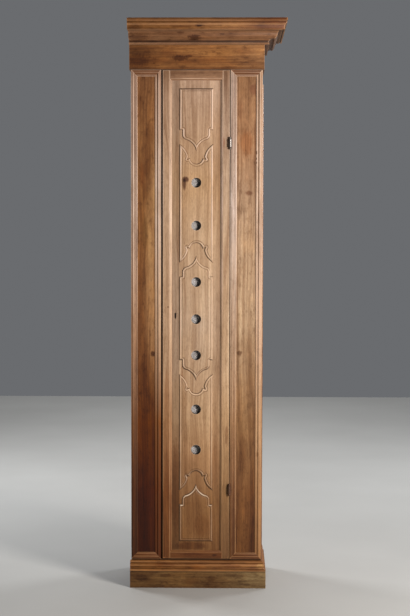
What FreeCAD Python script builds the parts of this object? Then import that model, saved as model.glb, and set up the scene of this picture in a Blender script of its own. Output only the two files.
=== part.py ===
import FreeCAD, Part
import math
import os

import Sketcher
from FreeCAD import Placement, Rotation, Vector

# Bonnetiere cabinet: a tall, narrow cupboard with one carved door between two panelled pilasters.
# Units are millimetres. +Z is up, the front faces -Y, and +X is to the right of someone facing it.
# The origin is on the floor, in the middle of the whole cabinet's outline.

DOCUMENT = FreeCAD.newDocument("BonnetiereCabinet")

# --- driving dimensions -------------------------------------------------------------------------

DRIVING_SIZES = {
    # body
    "body_depth": (355, "pilaster face to back"),
    "pilaster_left_width": (124, "left pilaster, outer edge to door opening"),
    "pilaster_right_width": (131, "right pilaster, door opening to outer edge"),
    "opening_width": (286.5, "door opening between the pilasters"),
    "opening_height": (2031, "threshold to underside of the frieze"),
    # base
    "plinth_height": (72, "floor to top of the plinth boards"),
    "plinth_projection": (20, "plinth in front of the pilasters and right of the side"),
    "plinth_left_overhang": (5, "cut end of the plinth beyond the left side"),
    "base_moulding_height": (41.5, "moulding on top of the plinth"),
    "base_moulding_lip": (4, "narrow top edge of the base moulding, from the body's face"),
    "reveal_height": (6, "shadow gap between the base moulding and the pilasters"),
    "threshold_setback": (5, "threshold's face behind the pilasters' face"),
    "threshold_bottom": (30, "floor to underside of the threshold rail"),
    "floor_thickness": (18, "floor board"),
    # pilasters
    "pilaster_thickness": (28, "front frames of the body"),
    "member_width": (26, "moulded stile or rail of a pilaster"),
    "pilaster_panel_thickness": (9, "sunk flat panel"),
    "pilaster_panel_recess": (7, "panel's face behind the frame's face"),
    "groove_depth": (7, "grooves that hold the panels"),
    "groove_play": (0.3, "room between a panel and its groove"),
    # sides
    "side_thickness": (28, "posts and rails of the sides"),
    "post_width": (50, "posts of the sides, front to back"),
    "side_top_rail_height": (58, "top rail of a side"),
    "side_bottom_rail_top": (155, "floor to top of a side's bottom rail"),
    "side_bottom_rail_foot": (20, "floor to underside of a side's bottom rail"),
    "side_panel_thickness": (8, "panel of a side"),
    "side_panel_recess": (10, "side panel's face inside the side's face"),
    "side_moulding_width": (18, "panel moulding, inside the frame"),
    "side_moulding_lip": (5, "panel moulding's lap over the frame"),
    "side_moulding_proud": (6, "panel moulding's height over the frame"),
    "tenon_length": (20, "tenons of the rails"),
    "tenon_thickness": (8, "tenons of the rails"),
    "tenon_shoulder": (6, "narrow shoulders above and below a tenon"),
    "joint_play": (0.2, "room round a tenon in its mortise"),
    # back
    "back_board_thickness": (15, "shiplap boards"),
    "back_board_lap": (8, "overlap of two boards"),
    "back_board_gap": (1, "room between two boards"),
    "back_lap_play": (0.2, "room between the halves of a lap"),
    "back_rail_thickness": (22, "rails that the boards are nailed to"),
    "back_rail_height": (80, "rails that the boards are nailed to"),
    # inside
    "shelf_thickness": (18, "shelves"),
    "shelf_setback": (62, "pilaster face to front edge of a shelf"),
    "shelf_play": (0.5, "room at a shelf's ends and back"),
    "lower_shelf_height": (620, "floor to top of the lower shelf"),
    "middle_shelf_height": (1120, "floor to top of the middle shelf"),
    "upper_shelf_height": (1620, "floor to top of the upper shelf"),
    "cleat_width": (20, "battens under the shelves"),
    "cleat_height": (25, "battens under the shelves"),
    # head
    "frieze_visible": (101, "frieze between the pilasters and the bed moulding"),
    "frieze_thickness": (20, "frieze boards"),
    "frieze_proud": (7, "frieze's face outside the body's faces"),
    "bed_height": (51.5, "bed moulding"),
    "bed_projection": (56, "bed moulding's top, from the frieze"),
    "crown_height": (47, "crown"),
    "crown_projection": (91, "crown's top edge, from the frieze"),
    "crown_seat": (10, "crown's bearing on top of the frieze boards"),
    "crown_left_overhang": (3, "cut end of the crown beyond the frieze"),
    "top_board_thickness": (18, "dust board on top"),
    # door frame
    "lock_gap": (7, "gap at the free edge of the door"),
    "hinge_gap": (3, "gap at the hinged edge of the door"),
    "head_gap": (1.5, "gap above the door"),
    "foot_gap": (1.5, "gap under the door"),
    "stop_gap": (0.5, "door's back to the stop lath"),
    "stop_seat": (12, "stop lath's bearing on the pilaster"),
    "stop_overlap": (9, "stop lath's reach behind the door"),
    "stop_thickness": (16, "stop lath"),
    "stop_lock_room": (12, "stop lath's end to the lock case"),
    "door_stile_flat": (29.5, "flat part of the door's stiles"),
    "door_top_flat": (33, "flat part of the door's top rail"),
    "door_bottom_flat": (26, "flat part of the door's bottom rail"),
    "sticking_width": (8, "moulding worked on the inner edges of the door frame"),
    "sticking_depth": (5, "depth of that moulding"),
    # door panel
    "plate_recess": (8, "panel's sunk margin behind the frame's face"),
    "field_recess": (3, "raised fields behind the frame's face"),
    "tongue_thickness": (8, "panel's edge in the frame's groove"),
    "panel_back_recess": (24, "panel's back behind the frame's face"),
    "panel_back_play": (1, "room round the thick part of the panel"),
    "margin_side": (32, "sunk margin beside the fields"),
    "margin_top": (33, "sunk margin above the fields"),
    "margin_bottom": (38, "sunk margin under the fields"),
    "tip_share_1": (0.127, "height of the lowest pointed tip, as a share of the fielded height"),
    "tip_share_2": (0.360, "height of the second tip, pointing down"),
    "tip_share_3": (0.633, "height of the third tip, pointing up"),
    "tip_share_4": (0.866, "height of the top tip, pointing down"),
    "ogee_height": (84, "pointed end, tip to shoulder"),
    "ogee_ear_across": (57, "inner corner of the shoulder, from the middle"),
    "ogee_ear_drop": (64, "foot of the shoulder's short side, from the tip"),
    "ogee_knee_across": (38, "where the pointed end's two curves meet, from the middle"),
    "ogee_knee_drop": (43, "where the pointed end's two curves meet, from the tip"),
    "ogee_radius": (65, "hollow curve beside the tip"),
    "bowl_depth": (80, "hollow end, middle to corner"),
    "neck_across": (34, "hollow end's neck, from the middle"),
    "neck_drop": (29, "hollow end's neck, from the middle's height"),
    "cusp_across": (39, "point of the cusp between lobe and neck, from the middle"),
    "cusp_drop": (18.5, "point of the cusp, from the middle's height"),
    "lobe_across": (26.5, "foot of the lobe, from the middle"),
    "lobe_drop": (23, "foot of the lobe, from the middle's height"),
    "horn_radius": (72, "round curve outside the neck"),
    "channel_width": (57, "pointed tip to the hollow end that faces it"),
    "vent_diameter": (40, "vent holes"),
    "vent_share_1": (0.205, "height of the lowest vent hole, as a share of the fielded height"),
    "vent_share_2": (0.295, "height of the second vent hole"),
    "vent_share_3": (0.415, "height of the third vent hole"),
    "vent_share_4": (0.495, "height of the fourth vent hole"),
    "vent_share_5": (0.577, "height of the fifth vent hole"),
    "vent_share_6": (0.701, "height of the sixth vent hole"),
    "vent_share_7": (0.795, "height of the top vent hole"),
    "keyhole_inset": (52, "door's free edge to the keyhole"),
    "keyhole_height": (1006, "foot of the door to foot of the keyhole"),
    "keyhole_length": (23, "keyhole, foot to top"),
    "keyhole_slot": (5, "width of the keyhole's slot"),
    "keyhole_eye": (8, "diameter of the keyhole's round top"),
    "gauze_width": (64, "gauze behind the vent holes"),
    "gauze_thickness": (0.8, "gauze behind the vent holes"),
    "gauze_margin": (36, "gauze beyond the end holes' middles"),
    # lock
    "lock_inset": (3, "door's free edge to the lock case"),
    "lock_width": (72, "lock case"),
    "lock_height": (76, "lock case"),
    "lock_thickness": (17, "lock case"),
    "lock_plate": (1.5, "walls of the lock case"),
    "lock_below_key": (14, "foot of the lock case under the foot of the keyhole"),
    "key_room_width": (22, "room for the key's bit"),
    "bolt_inset": (1.5, "bolt's end behind the door's free edge, drawn back"),
    "bolt_length": (62, "lock bolt"),
    "bolt_height": (16, "lock bolt"),
    "bolt_thickness": (9, "lock bolt"),
    "bolt_play": (0.3, "room round the bolt in the case"),
    "bolt_above_key": (3, "bolt's foot over the top of the keyhole"),
    "talon_width": (9, "notch that the key's bit moves"),
    "talon_depth": (4, "notch that the key's bit moves"),
    # hinges
    "hinge_setback_top": (298, "upper hinge's middle to the top of the door"),
    "hinge_setback_foot": (292, "lower hinge's middle to the foot of the door"),
    "knuckle_face_gap": (0.5, "barrel to the face of the door and the pilaster"),
    "knuckle_radius": (6.5, "barrel"),
    "knuckle_length": (16, "each half of the barrel"),
    "knuckle_play": (0.4, "room between the two halves"),
    "knuckle_rim": (0.8, "bevel round the ends of the barrel"),
    "knob_length": (10, "knob at a barrel's end"),
    "knob_neck": (2.2, "radius of the knob's neck"),
    "hinge_pin_radius": (3, "pin"),
    "hinge_pin_length": (12, "pin above the joint of the barrel"),
    "hinge_pin_play": (0.05, "radial room round the pin"),
    "hinge_bore_room": (1, "bore above the end of the pin"),
    "leaf_thickness": (1.2, "hinge leaves"),
    "leaf_depth": (24, "hinge leaves, from the front face"),
    "leaf_bite": (1.7, "leaf's root inside the barrel's surface"),
}

CUT_MARGIN = 1.0  # how far a cutter reaches past the surface that it cuts


class Size:
    """A number, kept together with the expression that works it out from the sheet."""

    def __init__(self, value, text):
        self.value = value
        self.text = text

    def __add__(self, other):
        other = as_size(other)
        return Size(self.value + other.value, f"({self.text} + {other.text})")

    def __sub__(self, other):
        other = as_size(other)
        return Size(self.value - other.value, f"({self.text} - {other.text})")

    def __mul__(self, other):
        other = as_size(other)
        return Size(self.value * other.value, f"({self.text} * {other.text})")

    def __truediv__(self, other):
        other = as_size(other)
        return Size(self.value / other.value, f"({self.text} / {other.text})")

    def __radd__(self, other):
        return as_size(other) + self

    def __rsub__(self, other):
        return as_size(other) - self

    def __rmul__(self, other):
        return as_size(other) * self

    def __neg__(self):
        return Size(-self.value, f"(0 - {self.text})")


def as_size(value):
    """Turns a plain number into a Size; a Size stays what it is."""
    return value if isinstance(value, Size) else Size(float(value), repr(float(value)))


def root(size):
    """The square root of a Size."""
    return Size(math.sqrt(size.value), f"sqrt({size.text})")


class Named:
    """A bag of Sizes read as attributes."""


def fill_sheet(sizes):
    """Writes the driving dimensions to the sheet and returns them as Sizes."""
    sheet = DOCUMENT.addObject("Spreadsheet::Sheet", "Sizes")
    named = Named()
    for row, (name, (value, meaning)) in enumerate(sizes.items(), start=1):
        sheet.set(f"A{row}", name)
        sheet.set(f"B{row}", str(value))
        sheet.set(f"C{row}", meaning)
        sheet.setAlias(f"B{row}", name)
        setattr(named, name, Size(float(value), f"Sizes.{name}"))
    DOCUMENT.recompute()
    return named


S = fill_sheet(DRIVING_SIZES)
LAYOUT = DOCUMENT.addObject("App::VarSet", "Layout")


def level(name, size, meaning):
    """Keeps a worked-out position or length in the Layout set and returns a Size that refers to it."""
    LAYOUT.addProperty("App::PropertyFloat", name, "Layout", meaning)
    LAYOUT.setExpression(name, size.text)
    return Size(size.value, f"Layout.{name}")


# --- levels and planes worked out from the driving dimensions -----------------------------------

body_width = level("body_width", S.pilaster_left_width + S.opening_width + S.pilaster_right_width,
                   "outside of the left side to outside of the right side")
total_width = level("total_width", S.crown_left_overhang + S.frieze_proud + body_width
                    + S.frieze_proud + S.crown_projection, "whole cabinet, left to right")
total_depth = level("total_depth", S.body_depth + S.frieze_proud + S.crown_projection,
                    "whole cabinet, front to back")
left = level("left", S.crown_left_overhang + S.frieze_proud - total_width / 2, "left side's face")
right = level("right", left + body_width, "right side's face")
front = level("front", total_depth / 2 - S.body_depth, "pilasters' face")
back = level("back", total_depth / 2, "back of the cabinet")
opening_left = level("opening_left", left + S.pilaster_left_width, "left edge of the opening")
opening_right = level("opening_right", right - S.pilaster_right_width, "right edge of the opening")
inner_left = level("inner_left", left + S.side_thickness, "left side's inner face")
inner_right = level("inner_right", right - S.side_thickness, "right side's inner face")
frame_back = level("frame_back", front + S.pilaster_thickness, "back of the front frames")
back_boards_front = level("back_boards_front", back - S.back_board_thickness, "back boards' face")
base_top = level("base_top", S.plinth_height + S.base_moulding_height, "top of the base moulding")
threshold_top = level("threshold_top", base_top + S.reveal_height, "top of the threshold")
body_top = level("body_top", threshold_top + S.opening_height, "top of the posts and pilasters")
bed_bottom = level("bed_bottom", body_top + S.frieze_visible, "foot of the bed moulding")
crown_bottom = level("crown_bottom", bed_bottom + S.bed_height, "underside of the crown")
frieze_left = level("frieze_left", left - S.frieze_proud, "frieze's left face")
frieze_right = level("frieze_right", right + S.frieze_proud, "frieze's right face")
frieze_front = level("frieze_front", front - S.frieze_proud, "frieze's front face")

door_left = level("door_left", opening_left + S.lock_gap, "door's free edge")
door_right = level("door_right", opening_right - S.hinge_gap, "door's hinged edge")
door_bottom = level("door_bottom", threshold_top + S.foot_gap, "foot of the door")
door_top = level("door_top", body_top - S.head_gap, "top of the door")
door_width = level("door_width", door_right - door_left, "door")
door_height = level("door_height", door_top - door_bottom, "door")
door_middle = level("door_middle", (door_left + door_right) / 2, "door's middle line")
door_back = level("door_back", frame_back - S.stop_gap, "back of the door's frame")
door_thickness = level("door_thickness", S.pilaster_thickness - S.stop_gap, "door's frame")
hinge_x = level("hinge_x", (door_right + opening_right) / 2, "hinge axis")
hinge_standoff = level("hinge_standoff", S.knuckle_radius + S.knuckle_face_gap,
                       "hinge axis in front of the door's face")
hinge_y = level("hinge_y", front - hinge_standoff, "hinge axis")

KEPT = []  # the finished sub-parts, in the order they are made


# --- building blocks ----------------------------------------------------------------------------

def keep(thing, name):
    """Marks an object as a finished sub-part. Its Label names its file."""
    thing.Label = name
    KEPT.append(thing)
    return thing


def bind(thing, **expressions):
    """Ties properties of an object to Sizes. A double underscore in a name stands for a dot."""
    for name, size in expressions.items():
        thing.setExpression(name.replace("__", "."), as_size(size).text)


def place(thing, x, y, z, rotation=None):
    """Puts an object's own origin at x, y, z, turned by a fixed rotation."""
    if rotation is not None:
        thing.Placement = Placement(Vector(), rotation)
    bind(thing, Placement__Base__x=x, Placement__Base__y=y, Placement__Base__z=z)
    return thing


def block(name, x, y, z):
    """A straight block between two planes along each axis."""
    box = DOCUMENT.addObject("Part::Box", name)
    bind(box, Length=x[1] - x[0], Width=y[1] - y[0], Height=z[1] - z[0])
    return place(box, x[0], y[0], z[0])


def board(name, x, y, z):
    """A straight board that is a sub-part by itself."""
    return keep(block(name, x, y, z), name)


def cut(name, base, *tools):
    """The base less every tool."""
    for number, tool in enumerate(tools, start=1):
        result = DOCUMENT.addObject("Part::Cut", f"{name}_cut_{number}")
        result.Base = base
        result.Tool = tool
        base = result
    return base


def fuse(name, *shapes):
    """Several overlapping shapes as one piece."""
    result = DOCUMENT.addObject("Part::MultiFuse", f"{name}_fuse")
    result.Shapes = list(shapes)
    return result


def origin_plane(body, role):
    """One of the three planes through a body's own origin."""
    return next(f for f in body.Origin.OriginFeatures if f.Role == role)


def arc_centre(start, end, radius):
    """Centre of the shorter arc from start to end; a positive radius turns anticlockwise."""
    chord = end - start
    rise = math.sqrt(max(radius * radius - chord.Length ** 2 / 4, 0.0))
    sideways = Vector(-chord.y, chord.x, 0).normalize() * math.copysign(rise, radius)
    return (start + end) * 0.5 + sideways


def add_outline(sketch, outline):
    """Draws a closed outline, anticlockwise, with every corner and radius tied to its Size.

    Each corner is (x, y) after a straight edge, or (x, y, radius) after an arc: a positive radius
    bulges outwards and a negative one inwards.
    """
    corners = [Vector(as_size(c[0]).value, as_size(c[1]).value, 0) for c in outline]
    first = sketch.GeometryCount
    ends = []
    for index, corner in enumerate(outline):
        start, end = corners[index - 1], corners[index]
        if len(corner) == 2:
            sketch.addGeometry(Part.LineSegment(start, end))
            ends.append((1, 2))
            continue
        radius = as_size(corner[2])
        centre = arc_centre(start, end, radius.value)
        circle = Part.Circle(centre, Vector(0, 0, 1), abs(radius.value))
        travel = (start, end) if radius.value > 0 else (end, start)
        angles = [math.atan2(p.y - centre.y, p.x - centre.x) for p in travel]
        if angles[1] < angles[0]:
            angles[1] += 2 * math.pi
        sketch.addGeometry(Part.ArcOfCircle(circle, angles[0], angles[1]))
        ends.append((1, 2) if radius.value > 0 else (2, 1))
    count = len(outline)
    for index, corner in enumerate(outline):
        edge, following = first + index, first + (index + 1) % count
        edge_end, next_start = ends[index][1], ends[(index + 1) % count][0]
        sketch.addConstraint(Sketcher.Constraint("Coincident", edge, edge_end, following, next_start))
        for kind, size in (("DistanceX", corner[0]), ("DistanceY", corner[1])):
            size = as_size(size)
            number = sketch.addConstraint(
                Sketcher.Constraint(kind, -1, 1, edge, edge_end, size.value))
            sketch.setExpression(f"Constraints[{number}]", size.text)
        if len(corner) == 3:
            radius = as_size(corner[2])
            size = radius if radius.value > 0 else -radius
            number = sketch.addConstraint(Sketcher.Constraint("Radius", edge, size.value))
            sketch.setExpression(f"Constraints[{number}]", size.text)


def add_circle(sketch, x, y, radius):
    """Draws a circle tied to its Sizes."""
    x, y, radius = as_size(x), as_size(y), as_size(radius)
    edge = sketch.addGeometry(Part.Circle(Vector(x.value, y.value, 0), Vector(0, 0, 1), radius.value))
    for kind, size in (("DistanceX", x), ("DistanceY", y)):
        number = sketch.addConstraint(Sketcher.Constraint(kind, -1, 1, edge, 3, size.value))
        sketch.setExpression(f"Constraints[{number}]", size.text)
    number = sketch.addConstraint(Sketcher.Constraint("Radius", edge, radius.value))
    sketch.setExpression(f"Constraints[{number}]", radius.text)


def new_body(name):
    return DOCUMENT.addObject("PartDesign::Body", f"{name}_body")


def new_sketch(body, role, *outlines):
    """A sketch on one of the body's origin planes: XZ reads (x, z) and YZ reads (y, z)."""
    sketch = body.newObject("Sketcher::SketchObject", f"{body.Name}_sketch")
    sketch.AttachmentSupport = [(origin_plane(body, role), "")]
    sketch.MapMode = "FlatFace"
    for outline in outlines:
        add_outline(sketch, outline)
    return sketch


def pad(body, sketch, length, reverse=False):
    feature = body.newObject("PartDesign::Pad", f"{body.Name}_pad")
    feature.Profile = sketch
    feature.Reversed = reverse
    bind(feature, Length=length)
    return feature


def pocket_through(body, sketch):
    """Cuts a sketch right through the body, to both sides of its plane."""
    before = body.Tip.Shape.Volume
    feature = body.newObject("PartDesign::Pocket", f"{body.Name}_pocket")
    feature.Profile = sketch
    feature.Type = "ThroughAll"
    feature.SideType = "Symmetric"
    DOCUMENT.recompute()
    if not feature.Shape.Volume < before:
        raise RuntimeError(f"{feature.Name} cuts nothing")
    return feature


def moulding(name, profile, length, cuts=(), plane="XZ_Plane"):
    """A length of moulding along its body's +Z, with its ends cut to the given outlines."""
    body = new_body(name)
    pad(body, new_sketch(body, "XY_Plane", profile), length)
    DOCUMENT.recompute()
    if cuts:
        pocket_through(body, new_sketch(body, plane, *cuts))
    return body


# A frame's four members are one kind of piece, turned a quarter turn each. A member's own X runs
# from the frame's outer edge inwards, its Y from the face backwards, and its Z along the member.
UPWARDS, RIGHTWARDS, DOWNWARDS, LEFTWARDS = (Rotation(Vector(0, 1, 0), a) for a in (0, 90, 180, 270))
SEEN_FROM_RIGHT = Rotation(Vector(0, 0, 1), 90)
SEEN_FROM_LEFT = Rotation(Vector(0, 0, 1), -90)


def mitre_cuts(width, length, square=0.0, start_square=0.0, end_square=0.0):
    """Outlines, across and along a member, that leave its ends mitred inwards.

    The first `square` of the width isn't mitred. The mitres start at start_square and end_square
    from the ends.
    """
    far = width + CUT_MARGIN
    reach = far - square
    start = [(square, -CUT_MARGIN), (far, -CUT_MARGIN), (far, start_square + reach),
             (square, start_square)]
    end = [(square, length - end_square), (far, length - end_square - reach),
           (far, length + CUT_MARGIN), (square, length + CUT_MARGIN)]
    return start, end


# --- mouldings' cross-sections ------------------------------------------------------------------

def pilaster_member_profile():
    """Flat edge, bead, hollow and fillet, with a groove for the panel in the inner edge."""
    width, face = S.member_width, S.pilaster_panel_recess
    flat, bead_end, bead_drop, bead_radius = 9, 14, 1.5, 6
    step_rise, step_width, hollow_radius = 3, 3, 8
    round_width, round_radius, lip = 4, 6, 1.5
    step_end = width - round_width
    groove_end = face + S.pilaster_panel_thickness + S.groove_play
    return [(0, 0), (flat, 0), (bead_end, bead_drop, bead_radius),
            (step_end - step_width, face - step_rise, -hollow_radius), (step_end, face - step_rise),
            (width, face - lip, round_radius), (width, face), (width - S.groove_depth, face),
            (width - S.groove_depth, groove_end), (width, groove_end), (width, S.pilaster_thickness),
            (0, S.pilaster_thickness)]


def door_member_profile(flat):
    """Flat face and a round moulding on the inner edge, with a groove for the panel."""
    width, face = flat + S.sticking_width, S.plate_recess
    quirk, fillet, round_radius = 1.2, 1.2, 8
    groove_end = face + S.tongue_thickness + S.groove_play
    return [(0, 0), (flat, 0), (flat, quirk), (width - fillet, S.sticking_depth, round_radius),
            (width, S.sticking_depth), (width, face), (width - S.groove_depth, face),
            (width - S.groove_depth, groove_end), (width, groove_end), (width, door_thickness),
            (0, door_thickness)]


def side_moulding_profile():
    """A lip over the frame, a bead, and a hollow down to the side's panel."""
    lip, width = S.side_moulding_lip, S.side_moulding_lip + S.side_moulding_width
    proud, face = S.side_moulding_proud, S.side_panel_recess
    crest, crest_radius = 2, 9
    bead_end, bead_drop, bead_radius = 6, 1, 5
    foot_rise, hollow_radius = 3, 20
    return [(0, -proud / 2), (lip + crest, -proud, crest_radius),
            (lip + bead_end, bead_drop - proud, bead_radius), (width, face - foot_rise, -hollow_radius),
            (width, face), (lip, face), (lip, 0), (0, 0)]


# The mouldings of the base and the head are drawn with X downwards from their top edge and Y
# backwards from the face that they are planted on, so what stands out has a negative Y. An inset
# is how far a point lies behind the moulding's foremost edge.

def base_moulding_profile(backing):
    """Sloped top lip, small step, half-round, hollow and bottom fillet."""
    height, reach = S.base_moulding_height, S.plinth_projection
    slope_foot, step_foot, step_inset = 4, 9, 10
    round_top, round_top_inset = 9.5, 11
    round_foot, round_foot_inset, round_radius = 28, 9, 11
    fillet_height, hollow_inset, hollow_radius = 7, 3, 8
    return [(0, backing), (0, -S.base_moulding_lip), (slope_foot, step_inset - reach),
            (step_foot, step_inset - reach), (round_top, round_top_inset - reach),
            (round_foot, round_foot_inset - reach, round_radius),
            (height - fillet_height, hollow_inset - reach, -hollow_radius),
            (height - fillet_height, -reach), (height, -reach), (height, backing)]


def bed_moulding_profile(backing):
    """From the crown down: fillet, large round, hollow, and a small fillet on the frieze."""
    height, reach = S.bed_height, S.bed_projection
    top_fillet, step_foot, step_inset = 6, 9, 4
    round_rise, round_inset, round_radius = 20, 16, 26
    foot_fillet, hollow_inset, hollow_radius = 8, 40, 16
    fillet_inset = 38
    return [(0, backing), (0, -reach), (top_fillet, -reach), (step_foot, step_inset - reach),
            (height - round_rise, round_inset - reach, round_radius),
            (height - foot_fillet, hollow_inset - reach, -hollow_radius),
            (height - foot_fillet, fillet_inset - reach), (height, fillet_inset - reach),
            (height, backing)]


def crown_profile(backing):
    """From the top down: fillet, step, bead, and a hollow face over a drip groove."""
    height, reach = S.crown_height, S.crown_projection
    arris, arris_radius, fillet_foot = 3, 4, 10
    bevel_foot, bead_inset, bead_top, bead_foot, bead_radius = 12, 5, 14, 23, 5
    quirk_foot, quirk_inset = 24, 8
    drip, face_inset, face_radius, drip_inset = 4, 12, 60, 10
    groove_inset, groove_width, groove_rise = 15, 6, 4
    groove_outer, groove_inner = groove_inset - reach, groove_inset + groove_width - reach
    return [(0, backing), (0, arris - reach), (arris, -reach, arris_radius), (fillet_foot, -reach),
            (bevel_foot, bead_inset - reach), (bead_top, bead_inset - reach),
            (bead_foot, bead_inset - reach, bead_radius), (quirk_foot, quirk_inset - reach),
            (height - drip, face_inset - reach, -face_radius), (height, drip_inset - reach),
            (height, groove_outer), (height - groove_rise, groove_outer),
            (height - groove_rise, groove_inner), (height, groove_inner), (height, backing)]


# --- base ---------------------------------------------------------------------------------------

def end_mitre(length, reach, backing):
    """Cutter outline, backwards and along, for a moulding whose far end turns an outer corner."""
    inner, outer = backing + CUT_MARGIN, -reach - CUT_MARGIN
    return [(inner, length - inner), (inner, length - outer), (outer, length - outer)]


def start_mitre(reach, backing):
    """The same for the near end of the return, whose body starts at the corner's outer edge."""
    inner, outer = backing + CUT_MARGIN, -reach - CUT_MARGIN
    return [(outer, -CUT_MARGIN), (inner, -CUT_MARGIN), (inner, inner + reach)]


def corner_moulding(name, profile, reach, start, corner, face, top, backing, return_backing=None):
    """A front length from start to the right corner, and its return along the right side."""
    if return_backing is None:
        return_backing = backing
    length = corner - start
    front_piece = moulding(f"{name}_front", profile(backing), length + reach,
                           [end_mitre(length, reach, backing)], "YZ_Plane")
    keep(place(front_piece, start, face, top, RIGHTWARDS), f"{name}_front")
    return_piece = moulding(f"{name}_right", profile(return_backing), back - face + reach,
                            [start_mitre(reach, return_backing)], "YZ_Plane")
    keep(place(return_piece, corner, face - reach, top, SEEN_FROM_RIGHT.multiply(RIGHTWARDS)),
         f"{name}_right")


def make_base():
    plinth_x = (left - S.plinth_left_overhang, right + S.plinth_projection)
    plinth_y = (front - S.plinth_projection, front + S.threshold_setback)
    board("plinth_front", plinth_x, plinth_y, (0, S.plinth_height))
    board("plinth_right", (right, plinth_x[1]), (plinth_y[1], back), (0, S.plinth_height))
    board("threshold_rail", (left, right), (plinth_y[1], frame_back),
          (S.threshold_bottom, threshold_top))
    corner_moulding("base_moulding", base_moulding_profile, S.plinth_projection, plinth_x[0], right,
                    front, base_top, S.threshold_setback, as_size(0))
    board("floor_board", (inner_left, inner_right), (frame_back, back_boards_front),
          (threshold_top - S.floor_thickness, threshold_top))


# --- pilasters ----------------------------------------------------------------------------------

def mitred_frame(names, profile, width, at, near, far, span, bottom, top, facing=Rotation()):
    """Four members round a rectangle, seen from outside: left, top, right and bottom."""
    rise = top - bottom
    spots = [(near, bottom, rise, UPWARDS), (near, top, span, RIGHTWARDS),
             (far, top, rise, DOWNWARDS), (far, bottom, span, LEFTWARDS)]
    bodies = []
    for name, (across, z, length, turn) in zip(names, spots):
        body = moulding(name, profile, length, mitre_cuts(width, length))
        x, y = at(across)
        bodies.append(place(body, x, y, z, facing.multiply(turn)))
    return bodies


def make_pilaster(name, x, order):
    """A frame of four moulded members round a sunk panel."""
    names = [f"{name}_{part}" for part in order]
    members = mitred_frame(names, pilaster_member_profile(), S.member_width,
                           lambda across: (across, front), x[0], x[1], x[1] - x[0],
                           threshold_top, body_top)
    for body, label in zip(members, names):
        keep(body, label)
    edge = S.member_width - S.groove_depth + S.groove_play
    face = front + S.pilaster_panel_recess
    board(f"{name}_panel", (x[0] + edge, x[1] - edge), (face, face + S.pilaster_panel_thickness),
          (threshold_top + edge, body_top - edge))


def make_pilasters():
    make_pilaster("pilaster_left", (left, opening_left),
                  ("outer_stile", "top_rail", "inner_stile", "bottom_rail"))
    make_pilaster("pilaster_right", (opening_right, right),
                  ("inner_stile", "top_rail", "outer_stile", "bottom_rail"))


# --- sides --------------------------------------------------------------------------------------

def grown(span, play):
    """A span made longer by some play at each end."""
    return span[0] - play, span[1] + play


def tenoned_rail(name, x, y, z, tenon_x, tenon_y, tenon_z, *grooves):
    """A straight rail whose tenons reach past both ends, and the mortises' shared cutter."""
    rail = fuse(name, block(f"{name}_bar", x, y, z),
                block(f"{name}_tenons", tenon_x, tenon_y, tenon_z))
    mortises = block(f"{name}_mortises", *(grown(s, S.joint_play) for s in (tenon_x, tenon_y, tenon_z)))
    keep(cut(name, rail, *grooves), name)
    return mortises


def make_side(name, x, panel_x, seen):
    """A side frame of two posts and two rails round a panel, with a planted panel moulding."""
    y = (frame_back + S.post_width, back - S.post_width)
    z = (S.side_bottom_rail_top, body_top - S.side_top_rail_height)
    inset = S.groove_depth - S.groove_play
    board(f"{name}_panel", panel_x, grown(y, inset), grown(z, inset))
    groove = block(f"{name}_groove", grown(panel_x, S.groove_play / 2), grown(y, S.groove_depth),
                   grown(z, S.groove_depth))
    mortises = []
    rails = {"bottom_rail": (S.side_bottom_rail_foot, z[0]), "top_rail": (z[1], body_top)}
    for part, rail_z in rails.items():
        tenon_z = (rail_z[0] + S.tenon_shoulder, rail_z[1] - S.tenon_shoulder)
        mortises.append(tenoned_rail(f"{name}_{part}", x, y, rail_z, panel_x,
                                     grown(y, S.tenon_length), tenon_z, groove))
    posts = {"front_post": (frame_back, y[0]), "rear_post": (y[1], back)}
    for part, post_y in posts.items():
        post = block(f"{name}_{part}_bar", x, post_y, (0, body_top))
        keep(cut(f"{name}_{part}", post, groove, *mortises), f"{name}_{part}")
    add_side_moulding(name, y, z, seen)


def add_side_moulding(name, y, z, seen):
    """Four mitred strips on the side's panel, kept together as one sub-part."""
    parts = [f"{name}_moulding_{number}" for number in range(1, 5)]
    lap_y, lap_z = grown(y, S.side_moulding_lip), grown(z, S.side_moulding_lip)
    near, far = lap_y if seen == "right" else (lap_y[1], lap_y[0])
    face, facing = (right, SEEN_FROM_RIGHT) if seen == "right" else (left, SEEN_FROM_LEFT)
    strips = mitred_frame(parts, side_moulding_profile(),
                          S.side_moulding_lip + S.side_moulding_width,
                          lambda across: (face, across), near, far, lap_y[1] - lap_y[0],
                          lap_z[0], lap_z[1], facing)
    ring = DOCUMENT.addObject("Part::Compound", f"{name}_moulding_ring")
    ring.Links = strips
    keep(ring, f"{name}_moulding")


def make_sides():
    depth = (S.side_panel_recess, S.side_panel_recess + S.side_panel_thickness)
    make_side("side_left", (left, inner_left), (left + depth[0], left + depth[1]), "left")
    make_side("side_right", (inner_right, right), (right - depth[1], right - depth[0]), "right")


# --- back and inside ----------------------------------------------------------------------------

def shiplap_profile(width, laps_left, laps_right):
    """A board's section, seen from above: half its thickness runs on under the next board."""
    thickness, lap = S.back_board_thickness, S.back_board_lap
    near, far = (thickness - S.back_lap_play) / 2, (thickness + S.back_lap_play) / 2
    outline = [(0, 0), (width, 0)]
    if laps_right:
        outline += [(width, near), (width - lap, near), (width - lap, thickness)]
    else:
        outline += [(width, thickness)]
    if laps_left:
        outline += [(-lap, thickness), (-lap, far), (0, far)]
    else:
        outline += [(0, thickness)]
    return outline


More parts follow.
